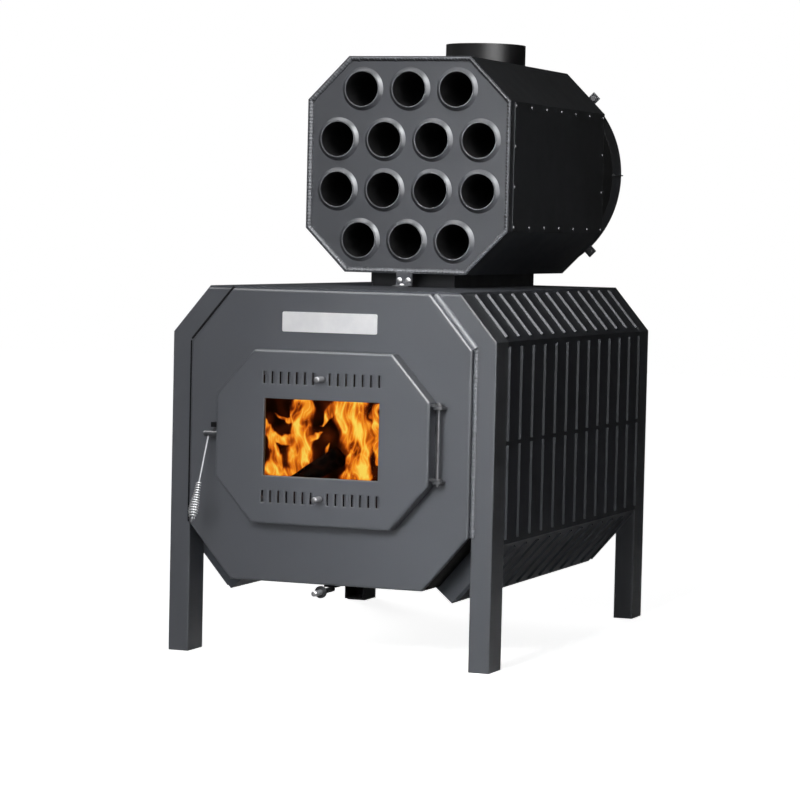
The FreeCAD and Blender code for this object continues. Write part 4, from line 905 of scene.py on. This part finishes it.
# Fire, drawn in shares of the window: (across, down, half width) along each tongue
TONGUES = (
    (
        (0.32, 1.40, 0.12), (0.33, 1.05, 0.14), (0.31, 0.75, 0.11), (0.30, 0.50, 0.085),
        (0.31, 0.33, 0.085), (0.36, -0.05, 0.065),
    ),
    ((0.29, 0.38, 0.05), (0.25, 0.20, 0.045), (0.27, -0.05, 0.040)),
    ((0.24, 0.27, 0.040), (0.16, 0.27, 0.022), (0.06, 0.20, 0.004)),
    (
        (0.08, 1.40, 0.060), (0.05, 1.05, 0.080), (0.07, 0.72, 0.060), (0.05, 0.55, 0.045),
        (0.00, 0.42, 0.040), (-0.06, 0.24, 0.006),
    ),
    ((0.04, 0.50, 0.028), (0.17, 0.56, 0.036), (0.27, 0.54, 0.045)),
    ((-0.05, 1.03, 0.07), (0.40, 1.03, 0.08)),
    ((0.37, 0.53, 0.034), (0.48, 0.44, 0.005)),
    ((0.53, 0.74, 0.026), (0.54, 0.60, 0.004)),
    (
        (0.84, 1.40, 0.090), (0.86, 1.05, 0.080), (0.84, 0.78, 0.075), (0.83, 0.58, 0.11),
        (0.78, 0.36, 0.15), (0.73, -0.08, 0.14),
    ),
    ((0.64, 0.06, 0.060), (0.54, 0.20, 0.034), (0.45, 0.34, 0.003)),
    ((0.70, 1.40, 0.070), (0.72, 1.02, 0.050), (0.76, 0.82, 0.030), (0.77, 0.66, 0.030)),
    ((0.99, 0.05, 0.030), (0.97, 0.35, 0.036), (0.97, 0.56, 0.040), (1.00, 0.78, 0.010)),
)
TONGUE_SHARPNESS = 10.0
TONGUE_LIMIT = 9.0
TIP_REACH = 0.13
ROOT_REACH = 0.14
RAGGED_REACH = 0.06

# Sheet that carries the flames, in metres, and the smoke round the window, in shares of it
FLAME_DEPTH = -0.470
FLAME_LEFT = -0.252
FLAME_RIGHT = 0.105
FLAME_LOW = 0.390
FLAME_HIGH = 0.640
FLAME_CELL = 1.2 * MM
FLAME_BEND = 0.020
FLAME_BEND_X = 6.0
FLAME_BEND_Z = 5.0
SMOKE_MARGIN = 0.05
SMOKE_EDGE = 0.02

# Noise in the fire: waves across and down the window, and a layer of its own
FIRE_SEED = 87.07
SWIRL = (5.0, 3.2, 0.0)
CURL = (13.0, 6.0, 8.0)
FLICKER = (36.0, 13.0, 20.0)
RAGGED = (17.0, 2.0, 30.0)
FOLDS = (13.0, 3.0, 0.0)
THREADS = (32.0, 6.0, 40.0)
GAPS = (11.0, 3.8, 60.0)
SMOKE = (9.0, 5.0, 90.0)
DOWN_LAYER = 4.0

# How far the noise bends the tongues across and down, and how much of it shows
SWIRL_BEND = (0.045, 0.050)
CURL_DRIFT = 0.020
CURL_BEND = (0.012, 0.040)
FLICKER_BEND = (0.012, 0.012)
CREASE_SHARPNESS = 2.9
GAP_LEVEL = 0.48
GAP_DEPTH = 1.7
SMOKE_LEVEL = 0.05
SMOKE_DEPTH = 0.16
GLOW_LEAST = 0.16
GLOW_FOLDS = 0.36
GLOW_THREADS = 0.24
GLOW_GAPS = 0.46


def clamped(value):
    """Value kept between 0 and 1."""
    return min(1.0, max(0.0, value))


def window_share(x, y, z):
    """Where a place behind the glass shows in the window, in shares across and down."""
    behind = y - GLASS_FRONT
    seen_x = x + behind * math.tan(math.radians(CAMERA_AZIMUTH))
    seen_z = z + behind * math.tan(math.radians(CAMERA_ELEVATION))
    return (seen_x + WINDOW_HALF_W) / (2.0 * WINDOW_HALF_W), (WINDOW_TOP - seen_z) / WINDOW_H


def tongue_heat(across, down, tongue):
    """Heat of one tongue of flame, falling off from its middle line."""
    best = 0.0
    for (x0, z0, w0), (x1, z1, w1) in zip(tongue, tongue[1:]):
        dx = x1 - x0
        dz = (z1 - z0) * WINDOW_SHAPE
        px = across - x0
        pz = (down - z0) * WINDOW_SHAPE
        t = clamped((px * dx + pz * dz) / (dx * dx + dz * dz))
        away = math.hypot(px - t * dx, pz - t * dz) / (w0 + t * (w1 - w0))
        fall = math.exp(TONGUE_SHARPNESS * (min(away, TONGUE_LIMIT) - 1.0))
        best = max(best, 1.0 / (1.0 + fall))
    return best


def crease(value):
    """Thin bright fold where a noise changes sign."""
    return max(0.0, 1.0 - CREASE_SHARPNESS * abs(value)) ** 2


def smoke_share(across, down):
    """1 in the window, falling to 0 over a margin around it."""
    beyond = max(-across, across - 1.0, -down, down - 1.0, 0.0)
    return max(0.0, 1.0 - beyond / SMOKE_MARGIN)


def gas(across, down, waves, deeper=0.0):
    """Smooth noise at a place in the window."""
    columns, rows, layer = waves
    return noise.noise(Vector((across * columns, down * rows, FIRE_SEED + layer + deeper)))


def sway(across, down, waves):
    """Bend of the gas across and down, both smooth."""
    return gas(across, down, waves), gas(across, down, waves, DOWN_LAYER)


def flame_heat(across, down):
    """Heat of the fire: tongues bent and split by drifting gas, fading above and below the window."""
    swirl_x, swirl_y = sway(across, down, SWIRL)
    curl_x, curl_y = sway(across, down, CURL)
    flick_x, flick_y = sway(across, down, FLICKER)
    drift = across + SWIRL_BEND[0] * swirl_x + CURL_DRIFT * curl_x
    rise = down + SWIRL_BEND[1] * swirl_y
    u = drift + CURL_BEND[0] * curl_x + FLICKER_BEND[0] * flick_x
    v = rise + CURL_BEND[1] * curl_y + FLICKER_BEND[1] * flick_y
    body = max(tongue_heat(u, v, tongue) for tongue in TONGUES)
    ragged = down + RAGGED_REACH * gas(across, down, RAGGED)
    body *= clamped(1.0 + ragged / TIP_REACH)
    body *= clamped(1.0 - (ragged - 1.0) / ROOT_REACH)
    folds = crease(gas(drift, rise, FOLDS))
    threads = crease(gas(drift, rise, THREADS))
    gaps = clamped(GAP_LEVEL + GAP_DEPTH * gas(drift, rise, GAPS))
    smoke = SMOKE_LEVEL + SMOKE_DEPTH * gas(drift, rise, SMOKE)
    glow = GLOW_LEAST + GLOW_FOLDS * folds + GLOW_THREADS * threads + GLOW_GAPS * gaps
    return smoke * smoke_share(across, down) + body * glow


def flames():
    """Curved sheet of flame behind the window, with its cold outer parts left out."""
    bm = bmesh.new()
    heats = bm.verts.layers.float.new("fire_heat")
    columns = round((FLAME_RIGHT - FLAME_LEFT) / FLAME_CELL)
    rows = round((FLAME_HIGH - FLAME_LOW) / FLAME_CELL)
    shares = {}
    heat = {}
    for i in range(columns + 1):
        for k in range(rows + 1):
            seen = window_share(FLAME_LEFT + i * FLAME_CELL, FLAME_DEPTH, FLAME_LOW + k * FLAME_CELL)
            shares[i, k] = smoke_share(*seen)
            heat[i, k] = clamped(flame_heat(*seen))
    made = {}

    def corner(i, k):
        if (i, k) not in made:
            x = FLAME_LEFT + i * FLAME_CELL
            z = FLAME_LOW + k * FLAME_CELL
            bend = noise.noise(Vector((x * FLAME_BEND_X, z * FLAME_BEND_Z, 0.0)))
            made[i, k] = bm.verts.new((x, FLAME_DEPTH + FLAME_BEND * bend, z))
            made[i, k][heats] = heat[i, k]
        return made[i, k]

    for i in range(columns):
        for k in range(rows):
            ring = ((i, k), (i + 1, k), (i + 1, k + 1), (i, k + 1))
            if any(heat[c] > SMOKE_EDGE or shares[c] > SMOKE_EDGE for c in ring):
                bm.faces.new([corner(*c) for c in ring])
    piece("flames", bm, "stove", flame_light("flame_light"))


# Logs: front ends (x, y), runs and radii of the lower and upper layers, and the log that leans
LOG_R = 0.058
LOG_STEPS = 22
LOG_SIDES = 26
LOG_UP = Vector((0.1, 0.2, 1.0))
LOWER_LOGS = ((-0.16, -0.56), (-0.02, -0.55), (0.12, -0.56))
LOWER_RUN = Vector((0.01, 0.30, 0.0))
LOWER_R = LOG_R * 0.92
UPPER_LOGS = ((-0.09, -0.55), (0.05, -0.53))
UPPER_RUN = Vector((0.0, 0.28, 0.0))
UPPER_R = LOG_R * 0.9
UPPER_RISE = 2.0 * LOG_R + 0.72 * LOG_R
LEANING_FOOT = Vector((-0.150, -0.505, 0.380))
LEANING_TOP = Vector((-0.006, -0.525, 0.472))
LEANING_R = 0.022
LEANING_SEED = 9.0

# Bark: noise round the log and along it, and its coarse and fine depth in shares of the radius
BARK_AROUND = 1.6
BARK_ALONG = 0.16
BARK_COARSE = 0.16
BARK_FINE = 0.05
BARK_FINER = 4.0


def log(bm, start, end, radius, seed):
    """Split log with uneven bark and sawn ends."""
    rng = random.Random(seed)
    points = [start.lerp(end, i / LOG_STEPS) for i in range(LOG_STEPS + 1)]
    phase = rng.uniform(0.0, 6.0)

    def bark(i, angle):
        around = Vector((
            math.cos(angle) * BARK_AROUND, math.sin(angle) * BARK_AROUND, i * BARK_ALONG + phase
        ))
        coarse = BARK_COARSE * noise.noise(around)
        return radius * (1.0 + coarse + BARK_FINE * noise.noise(around * BARK_FINER))

    sweep(bm, points, bark, LOG_SIDES, up=LOG_UP)


def log_pile():
    """Logs on the grate, with one leaning across the window."""
    grate_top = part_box("fire_grate")[1].z
    bm = bmesh.new()
    for x, y in LOWER_LOGS:
        start = Vector((x, y, grate_top + LOG_R))
        log(bm, start, start + LOWER_RUN, LOWER_R, x)
    for x, y in UPPER_LOGS:
        start = Vector((x, y, grate_top + UPPER_RISE))
        log(bm, start, start + UPPER_RUN, UPPER_R, x + 1.0)
    log(bm, LEANING_FOOT, LEANING_TOP, LEANING_R, LEANING_SEED)
    piece("log_pile", bm, "stove", charred_wood("charred_wood"))


# Lights: name, place, target, size and power, and for the soft ones their spread in degrees
SOFT_LIGHTS = (
    ("key", (-0.35, -3.6, 1.35), (0.0, -0.5, 0.75), (1.2, 2.0), 33.0, 180.0),
    ("beam", (0.28, -3.1, 1.6), (0.36, -0.6, 0.42), (0.5, 0.8), 2.4, 38.0),
    ("high_beam", (0.28, -2.9, 1.7), (0.27, -0.14, 1.27), (0.5, 0.5), 0.8, 30.0),
    ("rear_fill", (-3.0, 3.6, 1.7), (0.0, 0.0, 0.9), (2.0, 1.6), 12.0, 50.0),
)
SHEEN_LIGHTS = (
    ("right_window", (2.56, -1.86, 2.1), (0.0, -0.5, 0.9), (2.2, 3.8), 115.0),
    ("upper_window", (1.75, -2.33, 3.0), (0.3, -0.6, 0.75), (2.4, 1.8), 190.0),
    ("overhead", (-0.9, -1.0, 3.4), (0.0, -0.4, 0.8), (2.4, 2.2), 90.0),
    ("strip", (2.3, -3.6, 1.5), (0.0, -0.2, 0.9), (0.35, 3.0), 5.0),
)

# Backdrop: its strength in reflections, away from a dark drape and towards it, and its ambient light
DRAPE_SIDE = Vector((0.36, 0.93, 0.0)).normalized()
DRAPE_COSINES = (-0.2, 0.5)
MIRRORED_LEVELS = (0.24, 0.02)
AMBIENT = 0.008

# Floor: its size and level, and how white it shows near the object and further out
FLOOR_HALF = 14.0
FLOOR_LEVEL = -0.3 * MM
FLOOR_GREY = (0.80, 0.80, 0.80, 1.0)
FLOOR_WHITENESS = (0.90, 1.0)
FLOOR_DISTANCES = (0.9, 2.2)


def area_light(name, place_at, target, size, power):
    """Rectangular lamp that the camera doesn't see."""
    lamp = bpy.data.lights.new(name, "AREA")
    lamp.shape = "RECTANGLE"
    lamp.size, lamp.size_y = size
    lamp.energy = power
    holder = bpy.data.objects.new(name, lamp)
    holder.location = place_at
    holder.rotation_euler = (Vector(target) - holder.location).to_track_quat("-Z", "Y").to_euler()
    holder.visible_camera = False
    bpy.context.scene.collection.objects.link(holder)
    return holder


def studio_lights():
    """Soft lamps that light the faces, and soft boxes that only show as a sheen on edges and curves."""
    for *setting, spread in SOFT_LIGHTS:
        holder = area_light(*setting)
        holder.data.spread = math.radians(spread)
        holder.visible_glossy = False
    for setting in SHEEN_LIGHTS:
        holder = area_light(*setting)
        holder.visible_diffuse = False
        holder.visible_transmission = False


def seen_directly(tree):
    """1 for what the camera sees, also through glass."""
    path = tree.nodes.new("ShaderNodeLightPath")
    return math_of(tree, "MAXIMUM", path.outputs["Is Camera Ray"], path.outputs["Is Transmission Ray"])


def studio_world():
    """White backdrop for the camera and through glass, a dim one in reflections that fades towards a dark drape,
    and little light of its own on the object.
    """
    world = bpy.data.worlds.new("studio")
    world.use_nodes = True
    bpy.context.scene.world = world
    tree = world.node_tree
    background = tree.nodes["Background"]
    direction = tree.nodes.new("ShaderNodeTexCoord").outputs["Generated"]
    mirrored = ranged(tree, dot_of(tree, direction, DRAPE_SIDE), *MIRRORED_LEVELS, *DRAPE_COSINES)
    glossy = tree.nodes.new("ShaderNodeLightPath").outputs["Is Glossy Ray"]
    ambient = math_of(tree, "MULTIPLY", math_of(tree, "SUBTRACT", 1.0, glossy), AMBIENT)
    strength = math_of(tree, "ADD", ambient, math_of(tree, "MULTIPLY", glossy, mirrored))
    strength = math_of(tree, "MAXIMUM", strength, seen_directly(tree))
    background.inputs["Color"].default_value = WHITE
    tree.links.new(strength, background.inputs["Strength"])


def floor_white(name):
    """Pale floor that shows white to the camera and keeps the object's shadow."""
    material, tree, shader = new_material(name)
    shader.inputs["Base Color"].default_value = FLOOR_GREY
    shader.inputs["Roughness"].default_value = 0.9
    shader.inputs["Specular IOR Level"].default_value = 0.0
    shader.inputs["Emission Color"].default_value = WHITE
    reach = tree.nodes.new("ShaderNodeVectorMath")
    reach.operation = "LENGTH"
    tree.links.new(place(tree), reach.inputs[0])
    level = ranged(tree, reach.outputs["Value"], *FLOOR_WHITENESS, *FLOOR_DISTANCES)
    wire_up(tree, shader, Emission_Strength=math_of(tree, "MULTIPLY", seen_directly(tree), level))
    return material


def floor():
    """Square floor under the object."""
    bm = bmesh.new()
    ring = ((-1.0, -1.0), (1.0, -1.0), (1.0, 1.0), (-1.0, 1.0))
    bm.faces.new([bm.verts.new((x * FLOOR_HALF, y * FLOOR_HALF, FLOOR_LEVEL)) for x, y in ring])
    mesh = bpy.data.meshes.new("floor")
    bm.to_mesh(mesh)
    bm.free()
    mesh.materials.append(floor_white("floor_white"))
    result = bpy.data.objects.new("floor", mesh)
    bpy.context.scene.collection.objects.link(result)


def camera():
    """Camera at the photograph's viewpoint, with its roll."""
    azimuth = math.radians(CAMERA_AZIMUTH)
    elevation = math.radians(CAMERA_ELEVATION)
    roll = math.radians(CAMERA_ROLL)
    back = Vector((
        math.sin(azimuth) * math.cos(elevation),
        -math.cos(azimuth) * math.cos(elevation),
        math.sin(elevation),
    ))
    right = Vector((math.cos(azimuth), math.sin(azimuth), 0.0))
    up = right.cross(-back)
    rolled_right = math.cos(roll) * right + math.sin(roll) * up
    rolled_up = math.cos(roll) * up - math.sin(roll) * right
    lens = bpy.data.cameras.new("camera")
    lens.lens = CAMERA_LENS
    lens.sensor_width = CAMERA_SENSOR
    holder = bpy.data.objects.new("camera", lens)
    turn = Matrix((rolled_right, rolled_up, back)).transposed().to_4x4()
    holder.matrix_world = Matrix.Translation(CAMERA_TARGET + CAMERA_DISTANCE * back) @ turn
    bpy.context.scene.collection.objects.link(holder)
    bpy.context.scene.camera = holder


finish_cad_nodes()
front_plate_welds()
tube_plate_weld()
spring_grip()
rope_gasket()
cover_rivets()
neck_bolts()
flames()
log_pile()
studio_lights()
studio_world()
floor()
camera()
bpy.context.scene.view_settings.view_transform = "Standard"
